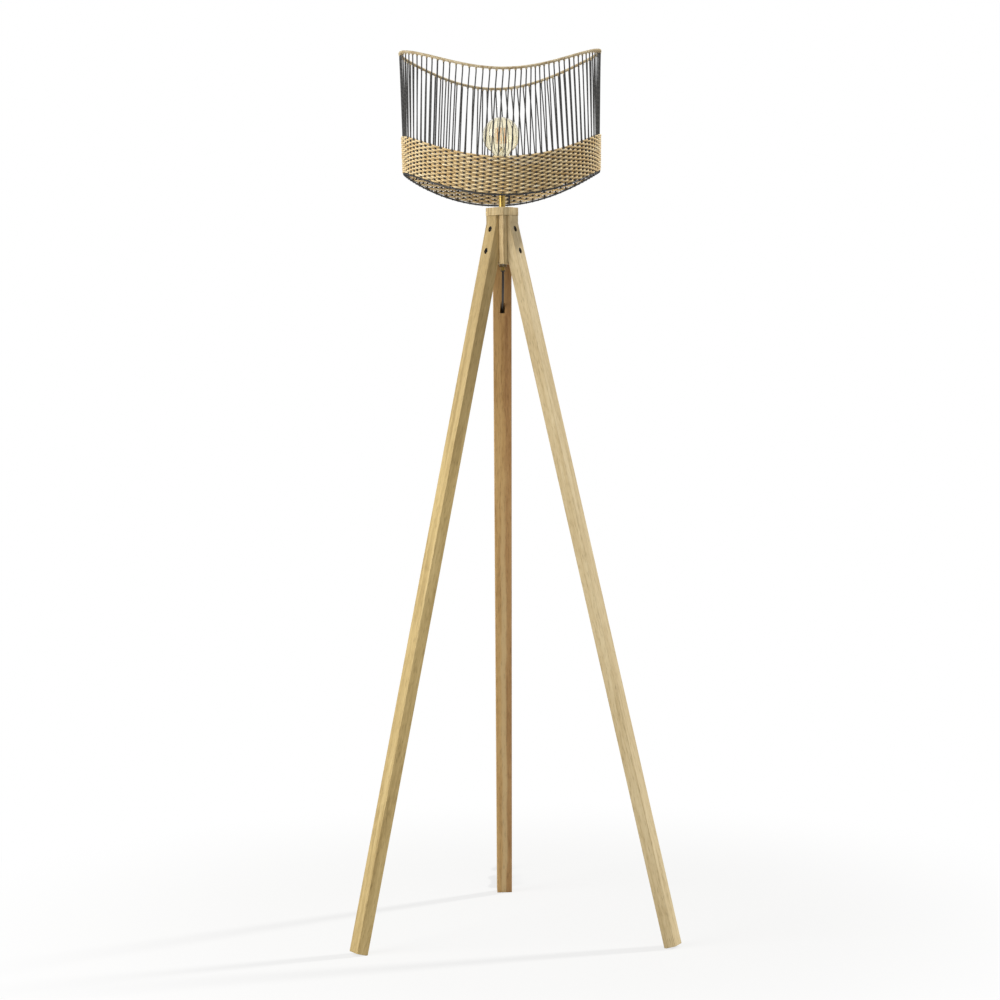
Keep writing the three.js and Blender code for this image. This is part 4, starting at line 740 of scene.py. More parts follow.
# Shade frame
# Two rings of 3 mm steel wire, each bent to a saddle, joined by four upright wires, and a spider of plate
# and wire that clamps to the lampholder. It is spot-welded and powder-coated black.
WALL_RADIUS = 169.4
RIM_WALL_RADIUS = 173.9
SADDLE_DIP = 47.5
RIM_DIP = 45
RIM_BULGE = 4
BOTTOM_RING = 1335.5
TOP_RING = 1543.1
RING_WIRE = 1.5
WARPS = 92
FIRST_ANGLE = 45
DROPS_PER_QUARTER = 22
DROP_SLANT = 7
SLANT_TURN = 22
SLANT_TWIST = 12
SLANT_EASE = 0.7
STRUT_RADIUS = 1.4
SPIDER_ARM = 1.6
SPIDER_TURN = -7
SPIDER_BEND = 9
ARM_START = 22
ARM_MIDDLE = 90
ARM_INSIDE = 163.7
ARM_END = 167.2
FIT = 0.3
QUARTERS = (0, 1, 2, 3)
RIM_VALUES = {
    "Radius": RIM_WALL_RADIUS * MM, "Height": TOP_RING * MM, "Dip": RIM_DIP * MM, "Bulge": RIM_BULGE * MM,
    "Axis Y": AXIS_Y,
}
BOTTOM_VALUES = {
    "Radius": WALL_RADIUS * MM, "Height": BOTTOM_RING * MM, "Dip": SADDLE_DIP * MM, "Bulge": 0.0,
    "Axis Y": AXIS_Y,
}


def bottom_point(angle):
    """Point in mm on the bottom ring's middle line, at an angle in radians"""
    dip = SADDLE_DIP * math.sin(angle) ** 2
    return (WALL_RADIUS * math.cos(angle), WALL_RADIUS * math.sin(angle), BOTTOM_RING - dip)


def rim_point(angle):
    """Point in mm on the top ring's middle line, at an angle in radians"""
    dip = RIM_DIP * math.sin(angle) ** 2 - RIM_BULGE * math.sin(2 * angle) ** 2
    return (RIM_WALL_RADIUS * math.cos(angle), RIM_WALL_RADIUS * math.sin(angle), TOP_RING - dip)


def warp_angle(i):
    """Angle of an upright at the bottom ring, in radians"""
    return math.radians(FIRST_ANGLE + 360 * i / WARPS)


def rim_angle(angle):
    """Angle at the rim of an upright, which leans a little along the wall"""
    side = math.sin(2 * angle - math.radians(SLANT_TURN - SLANT_TWIST * math.sin(angle)))
    return angle + math.radians(DROP_SLANT) * side / math.hypot(side, SLANT_EASE)


# Powder coat on steel: black, satin, with a faint orange peel
powder_coat = moulded("Black powder-coated steel", "#262524", 0.45, 1.2)


def add_saddle(add, height, dip, bulge, sine):
    """Nodes for a saddle's height: the dip takes it down at front and back, the bulge up in between"""
    square = add("Math", [sine, sine], "MULTIPLY")
    rest = add("Math", [square, -4.0, 4.0], "MULTIPLY_ADD")
    raised = add("Math", [rest, bulge], "MULTIPLY")
    deep = add("Math", [dip, raised], "SUBTRACT")
    fall = add("Math", [square, deep], "MULTIPLY")
    return add("Math", [height, fall], "SUBTRACT")


ring_values = {"Points": 2 * WARPS, "Wire radius": RING_WIRE * MM, "Material": powder_coat}
tree, given, add = new_tree("Saddle ring", RIM_VALUES | ring_values)
ring = add("CurvePrimitiveCircle", {"Resolution": given["Points"], "Radius": given["Radius"]})
place = add("InputPosition")
place = add("SeparateXYZ", [place])
sine = add("Math", [place.outputs[1], given["Radius"]], "DIVIDE")
height = add_saddle(add, given["Height"], given["Dip"], given["Bulge"], sine)
shift = add("CombineXYZ", {1: given["Axis Y"], 2: height})
ring = add("SetPosition", {"Geometry": ring, "Offset": shift})
section = add("CurvePrimitiveCircle", {"Resolution": 12, "Radius": given["Wire radius"]})
ring = add("CurveToMesh", {"Curve": ring, "Profile Curve": section})
end_tree(add, ring, given["Material"])
for name, place_values in (("shade_top_ring", RIM_VALUES), ("shade_bottom_ring", BOTTOM_VALUES)):
    ring_mesh = grown_mesh(name + "_wire", tree, place_values | ring_values)
    add_piece(name + "_wire", ring_mesh, None, "shade", "frame_black", name)

strut_lines = []
for quarter in QUARTERS:
    angle = warp_angle(quarter * (DROPS_PER_QUARTER + 1))
    strut_lines.append([bottom_point(angle), rim_point(rim_angle(angle))])
strut_mesh = wire_mesh("shade_uprights", strut_lines, STRUT_RADIUS, 4)
strut_nodes = [
    "shade_strut_" + corner for corner in ("back_right", "back_left", "front_left", "front_right")
]
add_piece("shade_uprights", strut_mesh, powder_coat, "shade", "frame_black", *strut_nodes)

arm_lines = []
for quarter in QUARTERS:
    angle = math.radians(SPIDER_TURN) + math.pi / 2 * quarter
    low = BOTTOM_RING - SADDLE_DIP * math.sin(angle) ** 2 - FIT
    reaches = [(ARM_START, BOTTOM_RING), (ARM_END, low)]
    if BOTTOM_RING - low > SPIDER_BEND:
        reaches = [
            (ARM_START, BOTTOM_RING), (ARM_MIDDLE, BOTTOM_RING), (ARM_INSIDE - SPIDER_BEND, BOTTOM_RING),
            (ARM_INSIDE - SPIDER_BEND / 4, BOTTOM_RING - SPIDER_BEND / 4),
            (ARM_INSIDE, BOTTOM_RING - SPIDER_BEND), (ARM_INSIDE, low + SPIDER_BEND / 2), (ARM_INSIDE, low),
            (ARM_END, low),
        ]
    arm_lines.append(
        [(reach * math.cos(angle), reach * math.sin(angle), height) for reach, height in reaches]
    )
arm_mesh = wire_mesh("spider_arms", arm_lines, SPIDER_ARM, 3)
add_piece("spider_arms", arm_mesh, powder_coat, "shade", "frame_black", "shade_spider")
plate_outline = [
    (19.8, 1334.5), (29.6, 1334.5), (30.0, 1334.9), (30.0, 1336.1), (29.6, 1336.5), (19.8, 1336.5),
]
add_turned("spider_plate", plate_outline, powder_coat, "shade", "frame_black", "shade_spider")

# Rim wrapping
# Pale fibre cord wound tightly round the top ring, turn beside turn, which also binds the ends of the black
# cord. At each black cord it makes a small collar under the rim.
WRAP_TURNS = 500
WRAP_STEPS = 10
WRAP_HALF_WIDTH = 1.15
WRAP_HALF_THICKNESS = 0.45
RIM_RADIUS = 2.5
COLLAR_RISE = 1.9
SLANT_VALUES = {
    "Slant": math.radians(DROP_SLANT), "Slant turn": -math.radians(SLANT_TURN),
    "Slant twist": math.radians(SLANT_TWIST), "Slant ease": SLANT_EASE,
}
# Settings of a vector that is stored at each point
STORED_VECTOR = {"data_type": "FLOAT_VECTOR", "domain": "POINT"}

# Seagrass cord, dried and twisted: pale straw and dull, with tan and brown streaks along it
seagrass, add, shader = new_material("Twisted seagrass cord", {"Roughness": 0.75, "Specular IOR Level": 0.3})
wound = add("Attribute", settings={"attribute_name": "wound"})
# Streaks about 5 mm long, and patches 35 mm wide where one length of grass follows another
stretched = add("Mapping", {"Vector": wound.outputs["Vector"], "Scale": (0.35, 0.12, 1)})
streaks = add("TexNoise", {"Vector": stretched, "Scale": 1, "Detail": 4})
place = add("TexCoord")
patches = add("TexNoise", {"Vector": place.outputs["Object"], "Scale": 28, "Detail": 2})
mixed = add("Mix", {0: 0.3, 2: streaks, 3: patches})
tone = add("ValToRGB", [mixed], {"stops": [(0.32, "#917450"), (0.5, "#c3b18c"), (0.66, "#dcd0b4")]})
bump = add("Bump", {"Strength": 0.4, "Distance": 0.3 * MM, "Height": streaks})
set_inputs(shader, {"Base Color": tone, "Normal": bump})

wrap_values = RIM_VALUES | {
    "Turns": WRAP_TURNS, "Steps": WRAP_STEPS, "Rim radius": RIM_RADIUS * MM,
    "Half width": WRAP_HALF_WIDTH * MM, "Half thickness": WRAP_HALF_THICKNESS * MM, "Material": seagrass,
}
tree, given, add = new_tree("Fibre wrap", wrap_values)
count = add("Math", [given["Turns"], given["Steps"]], "MULTIPLY")
ring = add("CurvePrimitiveCircle", {"Resolution": count, "Radius": given["Radius"]})
index = add("InputIndex")
phase = add("Math", [index, given["Steps"]], "DIVIDE")
phase = add("Math", [phase, 2 * math.pi], "MULTIPLY")
place = add("InputPosition")
place = add("SeparateXYZ", [place])
out_x = add("Math", [place.outputs[0], given["Radius"]], "DIVIDE")
out_y = add("Math", [place.outputs[1], given["Radius"]], "DIVIDE")
cosine = add("Math", [phase], "COSINE")
sine = add("Math", [phase], "SINE")
normal_x = add("Math", [out_x, cosine], "MULTIPLY")
normal_y = add("Math", [out_y, cosine], "MULTIPLY")
normal = add("CombineXYZ", [normal_x, normal_y, sine])
# Turns lie a little high and low, as hand winding leaves them
uneven = add("TexNoise", {"W": index, "Scale": 0.13, "Detail": 2}, {"noise_dimensions": "1D"})
uneven = add("Math", [uneven.outputs[0], 0.5 * MM, -0.25 * MM], "MULTIPLY_ADD")
middle = add("Math", [given["Rim radius"], given["Half thickness"]], "SUBTRACT")
middle = add("Math", [middle, uneven], "ADD")
offset = add("VectorMath", {0: normal, "Scale": middle}, "SCALE")
height = add_saddle(add, given["Height"], given["Dip"], given["Bulge"], out_y)
shift = add("CombineXYZ", {1: given["Axis Y"], 2: height})
shift = add("VectorMath", [offset, shift], "ADD")
wound = add("CombineXYZ", [phase, index])
for label, value in (("wound", wound), ("facing", normal)):
    ring = add("StoreNamedAttribute", {"Geometry": ring, "Name": label, "Value": value}, STORED_VECTOR)
ring = add("SetPosition", {"Geometry": ring, "Offset": shift})
facing = add("InputNamedAttribute", {"Name": "facing"}, {"data_type": "FLOAT_VECTOR"})
ring = add("SetCurveNormal", {"Curve": ring, "Normal": facing}, {"mode": "FREE"})
section = add("CurvePrimitiveCircle", {"Resolution": 6, "Radius": 1.0})
size = add("CombineXYZ", [given["Half thickness"], given["Half width"], 1.0])
section = add("Transform", {"Geometry": section, "Scale": size})
ring = add("CurveToMesh", {"Curve": ring, "Profile Curve": section})
end_tree(add, ring, given["Material"])
wrap_mesh = grown_mesh("rim_wrapping", tree, wrap_values)
add_piece("rim_wrapping", wrap_mesh, None, "shade", "rim_fibre", "shade_rim_wrap")


def add_lean(add, given, angle):
    """Nodes that turn a drop's angle at the bottom ring into its angle at the rim, as rim_angle does"""
    side = add("Math", [angle, 2.0, given["Slant turn"]], "MULTIPLY_ADD")
    sine = add("Math", [angle], "SINE")
    side = add("Math", [sine, given["Slant twist"], side], "MULTIPLY_ADD")
    side = add("Math", [side], "SINE")
    square = add("Math", [given["Slant ease"], given["Slant ease"]], "MULTIPLY")
    square = add("Math", [side, side, square], "MULTIPLY_ADD")
    root = add("Math", [square], "SQRT")
    lean = add("Math", [side, root], "DIVIDE")
    return add("Math", [lean, given["Slant"], angle], "MULTIPLY_ADD")


collar_values = RIM_VALUES | SLANT_VALUES | {
    "Count": WARPS, "Height": (TOP_RING - RIM_RADIUS - COLLAR_RISE) * MM,
    "First angle": math.radians(FIRST_ANGLE), "Collar radius": 1.5 * MM, "Collar height": COLLAR_RISE * MM,
    "Cord radius": 0.5 * MM, "Material": seagrass,
}
tree, given, add = new_tree("Fibre collars", collar_values)
spots = add("MeshLine", {"Count": given["Count"]})
index = add("InputIndex")
angle = add("Math", [index, given["Count"]], "DIVIDE")
angle = add("Math", [angle, 2 * math.pi, given["First angle"]], "MULTIPLY_ADD")
angle = add_lean(add, given, angle)
cosine = add("Math", [angle], "COSINE")
sine = add("Math", [angle], "SINE")
spot_x = add("Math", [cosine, given["Radius"]], "MULTIPLY")
spot_y = add("Math", [sine, given["Radius"], given["Axis Y"]], "MULTIPLY_ADD")
spot_z = add_saddle(add, given["Height"], given["Dip"], given["Bulge"], sine)
spot = add("CombineXYZ", [spot_x, spot_y, spot_z])
spots = add("SetPosition", {"Geometry": spots, "Position": spot})
collar = add(
    "CurveSpiral",
    {
        "Resolution": 10, "Rotations": 2.2, "Start Radius": given["Collar radius"],
        "End Radius": given["Collar radius"], "Height": given["Collar height"],
    },
)
turned = add("Math", [index, 2.4], "MULTIPLY")
turned = add("CombineXYZ", {2: turned})
collars = add("InstanceOnPoints", {"Points": spots, "Instance": collar, "Rotation": turned})
collars = add("RealizeInstances", {"Geometry": collars})
along = add("SplineParameter")
wound = add("CombineXYZ", [along, index])
collars = add("StoreNamedAttribute", {"Geometry": collars, "Name": "wound", "Value": wound}, STORED_VECTOR)
section = add("CurvePrimitiveCircle", {"Resolution": 6, "Radius": given["Cord radius"]})
collars = add("CurveToMesh", {"Curve": collars, "Profile Curve": section, "Fill Caps": True})
end_tree(add, collars, given["Material"])
collar_mesh = grown_mesh("rim_collars", tree, collar_values)
add_piece("rim_collars", collar_mesh, None, "shade", "rim_fibre", "shade_rim_wrap")

# Cord drops
# One long black waxed cord laced between the rings. Each drop hangs from under the rim, leans a little
# along the wall, and loops once round the bottom ring.
DROP_RADIUS = 1.15

# Each point is its distance out of the wall, its share of the way from the bottom ring to the rim, the
# height that is added there, and the cord's thickness as a share: drawn thin round the bottom ring, and
# pressed flat and wide in the weave
drop_path = [
    (-0.9, 0, 4.4, 0.35), (-1.7, 0, 1.4, 0.35), (-1.9, 0, 0, 0.35), (-1.3, 0, -1.35, 0.35),
    (0, 0, -1.9, 0.35), (1.3, 0, -1.35, 0.35), (1.9, 0, 0, 0.35), (1.6, 0, 1.6, 0.35), (0.7, 0, 3.4, 0.7),
    (0, 0, 5.5, 1.6), (0, 0, 9, 1.6), (0, 0.02, 9, 1.6), (0, 0.1, 0, 1.6), (0, 0.2, 0, 1.6),
    (0, 0.3, 0, 1.6), (0, 0.32, 0, 1), (0, 0.5, 0, 1), (0, 0.66, 0, 1), (0, 0.83, 0, 1), (0, 1, -9, 1),
    (0, 1, -2, 1),
]
path_mesh = bpy.data.meshes.new("drop_path")
path_points = [(out * MM, share, up * MM) for out, share, up, _ in drop_path]
path_mesh.from_pydata(path_points, [(i, i + 1) for i in range(len(drop_path) - 1)], [])
for mark, point in zip(path_mesh.attributes.new("thick", "FLOAT", "POINT").data, drop_path):
    mark.value = point[3]

# Waxed cotton cord: charcoal, its twist drawn 2 mm long, longer than the real 1 mm, with a soft waxy sheen
waxed_cord, add, shader = new_material(
    "Black waxed cotton cord", {"Roughness": 0.65, "Sheen Weight": 0.15, "Sheen Roughness": 0.4}
)
place = add("TexCoord")
twist = {"Vector": place.outputs["Object"], "Scale": 80, "Distortion": 1.5, "Detail": 1}
twist = add("TexWave", twist, {"bands_direction": "DIAGONAL"})
tone = add("ValToRGB", [twist], {"stops": [(0.0, "#232221"), (1.0, "#3f3e3b")]})
bump = add("Bump", {"Strength": 0.3, "Distance": 0.2 * MM, "Height": twist})
set_inputs(shader, {"Base Color": tone, "Normal": bump})

drop_values = SLANT_VALUES | {
    "Quarters": len(QUARTERS), "Per quarter": DROPS_PER_QUARTER, "Low radius": WALL_RADIUS * MM,
    "High radius": RIM_WALL_RADIUS * MM, "Bottom": BOTTOM_RING * MM, "Top": TOP_RING * MM,
    "Low dip": SADDLE_DIP * MM, "High dip": RIM_DIP * MM, "High bulge": RIM_BULGE * MM,
    "First angle": math.radians(FIRST_ANGLE), "Cord radius": DROP_RADIUS * MM, "Axis Y": AXIS_Y,
    "Material": waxed_cord,
}
tree, given, add = new_tree("Cord drops", drop_values)
line = add("MeshToCurve", {"Mesh": given["Geometry"]})
count = add("Math", [given["Quarters"], given["Per quarter"]], "MULTIPLY")
drops = add("DuplicateElements", {"Geometry": line, "Amount": count}, {"domain": "SPLINE"})
number = drops.outputs["Duplicate Index"]
quarter = add("Math", [number, given["Per quarter"]], "DIVIDE")
quarter = add("Math", [quarter], "FLOOR")
warp = add("Math", [number, quarter], "ADD")
warp = add("Math", [warp, 1.0], "ADD")
warps = add("Math", [count, given["Quarters"]], "ADD")
low_angle = add("Math", [warp, warps], "DIVIDE")
low_angle = add("Math", [low_angle, 2 * math.pi, given["First angle"]], "MULTIPLY_ADD")
high_angle = add_lean(add, given, low_angle)
place = add("InputPosition")
place = add("SeparateXYZ", [place])
ends = []
for angle, radius, height, dip, bulge in (
    (low_angle, given["Low radius"], given["Bottom"], given["Low dip"], 0.0),
    (high_angle, given["High radius"], given["Top"], given["High dip"], given["High bulge"]),
):
    cosine = add("Math", [angle], "COSINE")
    sine = add("Math", [angle], "SINE")
    ring_height = add_saddle(add, height, dip, bulge, sine)
    reach = add("Math", [radius, place.outputs[0]], "ADD")
    end_x = add("Math", [cosine, reach], "MULTIPLY")
    end_y = add("Math", [sine, reach, given["Axis Y"]], "MULTIPLY_ADD")
    end_z = add("Math", [ring_height, place.outputs[2]], "ADD")
    ends.append(add("CombineXYZ", [end_x, end_y, end_z]))
spot = add("Mix", {0: place.outputs[1], 4: ends[0], 5: ends[1]}, {"data_type": "VECTOR"})
drops = add("SetPosition", {"Geometry": drops, "Position": spot.outputs[1]})
section = add("CurvePrimitiveCircle", {"Resolution": 8, "Radius": given["Cord radius"]})
thick = add("InputNamedAttribute", {"Name": "thick"})
drops = add("CurveToMesh", {"Curve": drops, "Profile Curve": section, "Scale": thick, "Fill Caps": True})
end_tree(add, drops, given["Material"])

drop_mesh = grown_mesh("cord_drops", tree, drop_values, path_mesh)
drop_nodes = ["shade_cords_" + side for side in ("back", "left", "front", "right")]
add_piece("cord_drops", drop_mesh, None, "shade", "shade_cord", *drop_nodes)

# Woven band
# Nineteen rows of peeled rattan core woven over and under the black cords by hand, row beside row, up from
# the bottom ring. The strands are slightly flat, and lean outwards where they pass over a cord.
BAND_ROWS = 19
ROW_PITCH = 3.3
STEPS_PER_WARP = 5
STRAND_HALF_THICKNESS = 1.05
STRAND_HALF_HEIGHT = 1.62
WEAVE_DEPTH = 2.8
BAND_BOTTOM = 3.6
SHADE_RISE = TOP_RING - BOTTOM_RING
ROW_LEAN = (RIM_WALL_RADIUS - WALL_RADIUS) * ROW_PITCH / SHADE_RISE

# Peeled rattan core: cream on the lit crowns, tan along its fibres, and brown painted shade where the
# strands meet
rattan, add, shader = new_material("Peeled rattan core", {"Roughness": 0.6, "Specular IOR Level": 0.35})
woven = add("Attribute", settings={"attribute_name": "woven"})
side = add("Attribute", settings={"attribute_name": "side"})
place = add("SeparateXYZ", [woven.outputs["Vector"]])
turned = add("SeparateXYZ", [side.outputs["Vector"]])
# Fibre streaks 0.6 mm wide, twice the real width, and 15 mm long. One row differs from the next
streak_x = add("Math", [place.outputs[0], 0.8], "MULTIPLY")
streak_y = add("Math", [place.outputs[1], 13.7, turned.outputs[1]], "MULTIPLY_ADD")
streak_z = add("Math", [turned.outputs[0], 2.0], "MULTIPLY")
streak_y = add("Math", [streak_y, 2.5], "MULTIPLY")
streak_place = add("CombineXYZ", [streak_x, streak_y, streak_z])
streaks = add("TexNoise", {"Vector": streak_place, "Scale": 1.0, "Detail": 3})
# Each length of rattan has its own tone, and a darker knot here and there
length_x = add("Math", [place.outputs[0], 0.22], "MULTIPLY")
length_y = add("Math", [place.outputs[1], 5.3], "MULTIPLY")
length_place = add("CombineXYZ", [length_x, length_y])
lengths = add("TexNoise", {"Vector": length_place, "Scale": 1.0, "Detail": 1})
mixed = add("Mix", {0: 0.5, 2: streaks, 3: lengths})
rattan_tones = [(0.3, "#b38c50"), (0.44, "#dec089"), (0.56, "#efd9a9"), (0.7, "#fbf0d0")]
tone = add("ValToRGB", [mixed], {"stops": rattan_tones})
# Painted shade: brown along the upper and lower edge, where the strands touch and shade falls between them
edge = add("Math", [turned.outputs[1]], "ABSOLUTE")
edge = add("MapRange", [edge, 0.62, 1.0, 0.0, 0.75])
toned = add("Mix", {0: edge, 6: tone, 7: "#8a622c"}, COLOURS)
bump = add("Bump", {"Strength": 0.4, "Distance": 0.3 * MM, "Height": streaks})
set_inputs(shader, {"Base Color": toned.outputs[2], "Normal": bump})

band_values = SLANT_VALUES | {
    "Rows": BAND_ROWS, "Warps": WARPS, "Steps": STEPS_PER_WARP, "Radius": WALL_RADIUS * MM,
    "Height": (BOTTOM_RING + BAND_BOTTOM) * MM, "Dip": SADDLE_DIP * MM, "Pitch": ROW_PITCH * MM,
    "Row lean": ROW_LEAN * MM, "Depth": WEAVE_DEPTH * MM, "Half thickness": STRAND_HALF_THICKNESS * MM,
    "Half height": STRAND_HALF_HEIGHT * MM, "First share": BAND_BOTTOM / SHADE_RISE,
    "Row share": ROW_PITCH / SHADE_RISE, "First warp": WARPS * FIRST_ANGLE / 360, "Seed": 3.0,
    "Axis Y": AXIS_Y, "Material": rattan,
}
tree, given, add = new_tree("Woven band", band_values)
count = add("Math", [given["Warps"], given["Steps"]], "MULTIPLY")
ring = add("CurvePrimitiveCircle", {"Resolution": count, "Radius": 1.0})
rows = add("DuplicateElements", {"Geometry": ring, "Amount": given["Rows"]}, {"domain": "SPLINE"})
row = rows.outputs["Duplicate Index"]
index = add("InputIndex")
index = add("Math", [index, count], "MODULO")
# A strand's place among the cords: each cord has leaned a share of its way to the rim at the row's height
angle = add("Math", [index, count], "DIVIDE")
angle = add("Math", [angle, 2 * math.pi], "MULTIPLY")
high_angle = add_lean(add, given, angle)
lean = add("Math", [angle, high_angle], "SUBTRACT")
share = add("Math", [row, given["Row share"], given["First share"]], "MULTIPLY_ADD")
low_angle = add("Math", [lean, share, angle], "MULTIPLY_ADD")
warp = add("Math", [low_angle, 2 * math.pi], "DIVIDE")
warp = add("Math", [warp, given["Warps"]], "MULTIPLY")
warp = add("Math", [warp, given["First warp"]], "SUBTRACT")
phase = add("Math", [warp, row], "ADD")
phase = add("Math", [phase, math.pi], "MULTIPLY")
wave = add("Math", [phase], "COSINE")
noise_place = add("CombineXYZ", [warp, row, given["Seed"]])
noise_place = add("VectorMath", [noise_place, (0.55, 7.7, 1.0)], "MULTIPLY")
wobble = add("TexNoise", {"Vector": noise_place, "Scale": 1.0, "Detail": 1})
wobble = add("VectorMath", [wobble.outputs["Color"], (0.5, 0.5, 0.5)], "SUBTRACT")
wobble = add("SeparateXYZ", [wobble])
reach = add("Math", [row, given["Row lean"], given["Radius"]], "MULTIPLY_ADD")
reach = add("Math", [wave, given["Depth"], reach], "MULTIPLY_ADD")
reach = add("Math", [wobble.outputs[0], 0.4 * MM, reach], "MULTIPLY_ADD")
place = add("InputPosition")
place = add("SeparateXYZ", [place])
spot_x = add("Math", [place.outputs[0], reach], "MULTIPLY")
spot_y = add("Math", [place.outputs[1], reach, given["Axis Y"]], "MULTIPLY_ADD")
fall = add("Math", [place.outputs[1], place.outputs[1]], "MULTIPLY")
fall = add("Math", [fall, given["Dip"]], "MULTIPLY")
height = add("Math", [row, given["Pitch"], given["Height"]], "MULTIPLY_ADD")
height = add("Math", [height, fall], "SUBTRACT")
spot_z = add("Math", [wobble.outputs[1], 0.6 * MM, height], "MULTIPLY_ADD")
spot = add("CombineXYZ", [spot_x, spot_y, spot_z])
woven = add("CombineXYZ", [warp, row, wave])
rows = add("StoreNamedAttribute", {"Geometry": rows, "Name": "woven", "Value": woven}, STORED_VECTOR)
size = add("Math", [wobble.outputs[2], 0.2, 1.0], "MULTIPLY_ADD")
rows = add("SetCurveRadius", {"Curve": rows, "Radius": size})
rows = add("SetPosition", {"Geometry": rows, "Position": spot})
rows = add("SetCurveNormal", {"Curve": rows}, {"mode": "Z_UP"})
section = add("CurvePrimitiveCircle", {"Resolution": 8, "Radius": 1.0})
side = add("InputPosition")
section = add("StoreNamedAttribute", {"Geometry": section, "Name": "side", "Value": side}, STORED_VECTOR)
size = add("CombineXYZ", [given["Half thickness"], given["Half height"], 1.0])
section = add("Transform", {"Geometry": section, "Scale": size})
radius = add("InputRadius")
strands = add("CurveToMesh", {"Curve": rows, "Profile Curve": section, "Scale": radius})
end_tree(add, strands, given["Material"])

band_mesh = grown_mesh("woven_rattan_band", tree, band_values)
add_piece("woven_rattan_band", band_mesh, None, "shade", "rattan", "shade_rattan_band")

# Ring nut
# A ring of black phenolic, moulded with ribs for the fingers. It is screwed down on the lampholder by hand
# and clamps the spider's plate.
NUT_RIBS = 48

nut_outline = [
    (19.8, 1336.8), (25.0, 1336.8), (25.5, 1337.3), (25.5, 1343.0), (24.8, 1343.8), (20.6, 1343.8),
    (19.8, 1343.0),
]
add_turned("ribbed_ring_nut", nut_outline, black_moulding, "ring_nut", "black_moulding", "shade_ring_nut")
rib_values = {
    "Count": NUT_RIBS, "Radius": 25.35 * MM, "Rib radius": 0.65 * MM, "Bottom": 1337.2 * MM,
    "Top": 1343.2 * MM, "Axis Y": AXIS_Y, "Material": black_moulding,
}
nut_ribs = grown_mesh("ring_nut_ribs", grip_ribs, rib_values)
add_piece("ring_nut_ribs", nut_ribs, None, "ring_nut", "black_moulding", "shade_ring_nut")

# Power cord
# A 4 mm round black PVC flex leaves the bush, goes through the rear leg's slot and down its outer face
# under three clips. What the lamp doesn't need lies tied in a hank behind the rear foot, with a moulded
# plug on its end.
CORD_RADIUS = 2.0
HANK_START = 362
HANK_ASIDE = 2.4
HANK_LENGTH = 80
HANK_HALF_WIDTH = 12
HANK_WAIST_HALF = 2.6
HANK_WAIST_REACH = 32
HANK_LAYER_STEP = 4.5
HANK_REST = 2.3
HANK_RUNS = 7
HANK_HEADING = math.radians(2.3)
TURN_STEPS = 5
RUN_SHARES = (0, 0.15, 0.3, 0.44, 0.56, 0.7, 0.85, 1)
TIE_WIDTH = 9
TIE_THICKNESS = 1
PLUG_GAP = 38
LEAD_SHARE = 0.14
STRAIGHT_LEAD = 4
PLUG_HEIGHT = 15
CORD_EXIT = (0, 0, 1164.1)
DROP_ROUTE = [
    (0, 0, 1158), (0, 1.5, 1150), (0, 7, 1138), (0, 17, 1124), (0, 30, 1111), (0, 42, 1101.5),
    (0, 54, 1092), (0, 64.2, 1083), (0, 68.9, 1074), (0, 71.6, 1062),
]
LEG_RUN_HEIGHTS = (1045, 920, 780, 640, 500, 360, 220, 57)
TAIL_ROUTE = [
    (0, 316.9, 36), (-0.3, 321, 19.1), (-0.8, 323.9, 12.4), (-1.9, 328.8, 7), (-3.7, 335.2, 3.5),
    (-6, 342.4, 2.3), (-8.2, 350.3, 2.3),
]


def beside_leg(height):
    """Point on the cord where it lies along the rear leg's outer face"""
    away = (CORD_RADIUS + 1.5 * FIT) / math.cos(math.atan(OUTER_SLOPE))
    return (0, outer_reach(height) + away, height)


def hank_place(across, along, height):
    """Place on the floor behind the lamp, in the hank's own directions"""
    return (
        HANK_ASIDE + across * math.cos(HANK_HEADING) + along * math.sin(HANK_HEADING),
        HANK_START + along * math.cos(HANK_HEADING) - across * math.sin(HANK_HEADING),
        height,
    )


def hank_run_point(side, along, level):
    """Point of a run: the sides are drawn together at the waist, which the tie lifts by its thickness"""
    past = (abs(along - HANK_LENGTH / 2) - TIE_WIDTH / 2) / HANK_WAIST_REACH
    away = min(1, max(0, past))
    out = away * away * (3 - 2 * away)
    half = HANK_WAIST_HALF + (HANK_HALF_WIDTH - HANK_WAIST_HALF) * out
    lift = (TIE_THICKNESS + FIT) * (1 - out)
    return hank_place(side * half, along, HANK_REST + HANK_LAYER_STEP * level + lift)


def hank_route():
    """The hank's loops: a run out, a half turn, a run back that climbs one layer, a half turn"""
    route = []
    for run in range(HANK_RUNS):
        outbound = run % 2 == 0
        side = -1 if outbound else 1
        layer = run // 2
        for share in RUN_SHARES[0 if run == 0 else 1 :]:
            along = HANK_LENGTH * (share if outbound else 1 - share)
            route.append(hank_run_point(side, along, layer + (0 if outbound else share)))
        if run == HANK_RUNS - 1:
            break
        end = HANK_LENGTH if outbound else 0
        level = layer if outbound else layer + 1
        for i in range(1, TURN_STEPS + 1):
            angle = math.pi * i / TURN_STEPS
            across = side * HANK_HALF_WIDTH * math.cos(angle)
            along = end - side * HANK_HALF_WIDTH * math.sin(angle)
            route.append(hank_place(across, along, HANK_REST + HANK_LAYER_STEP * level))
    return route


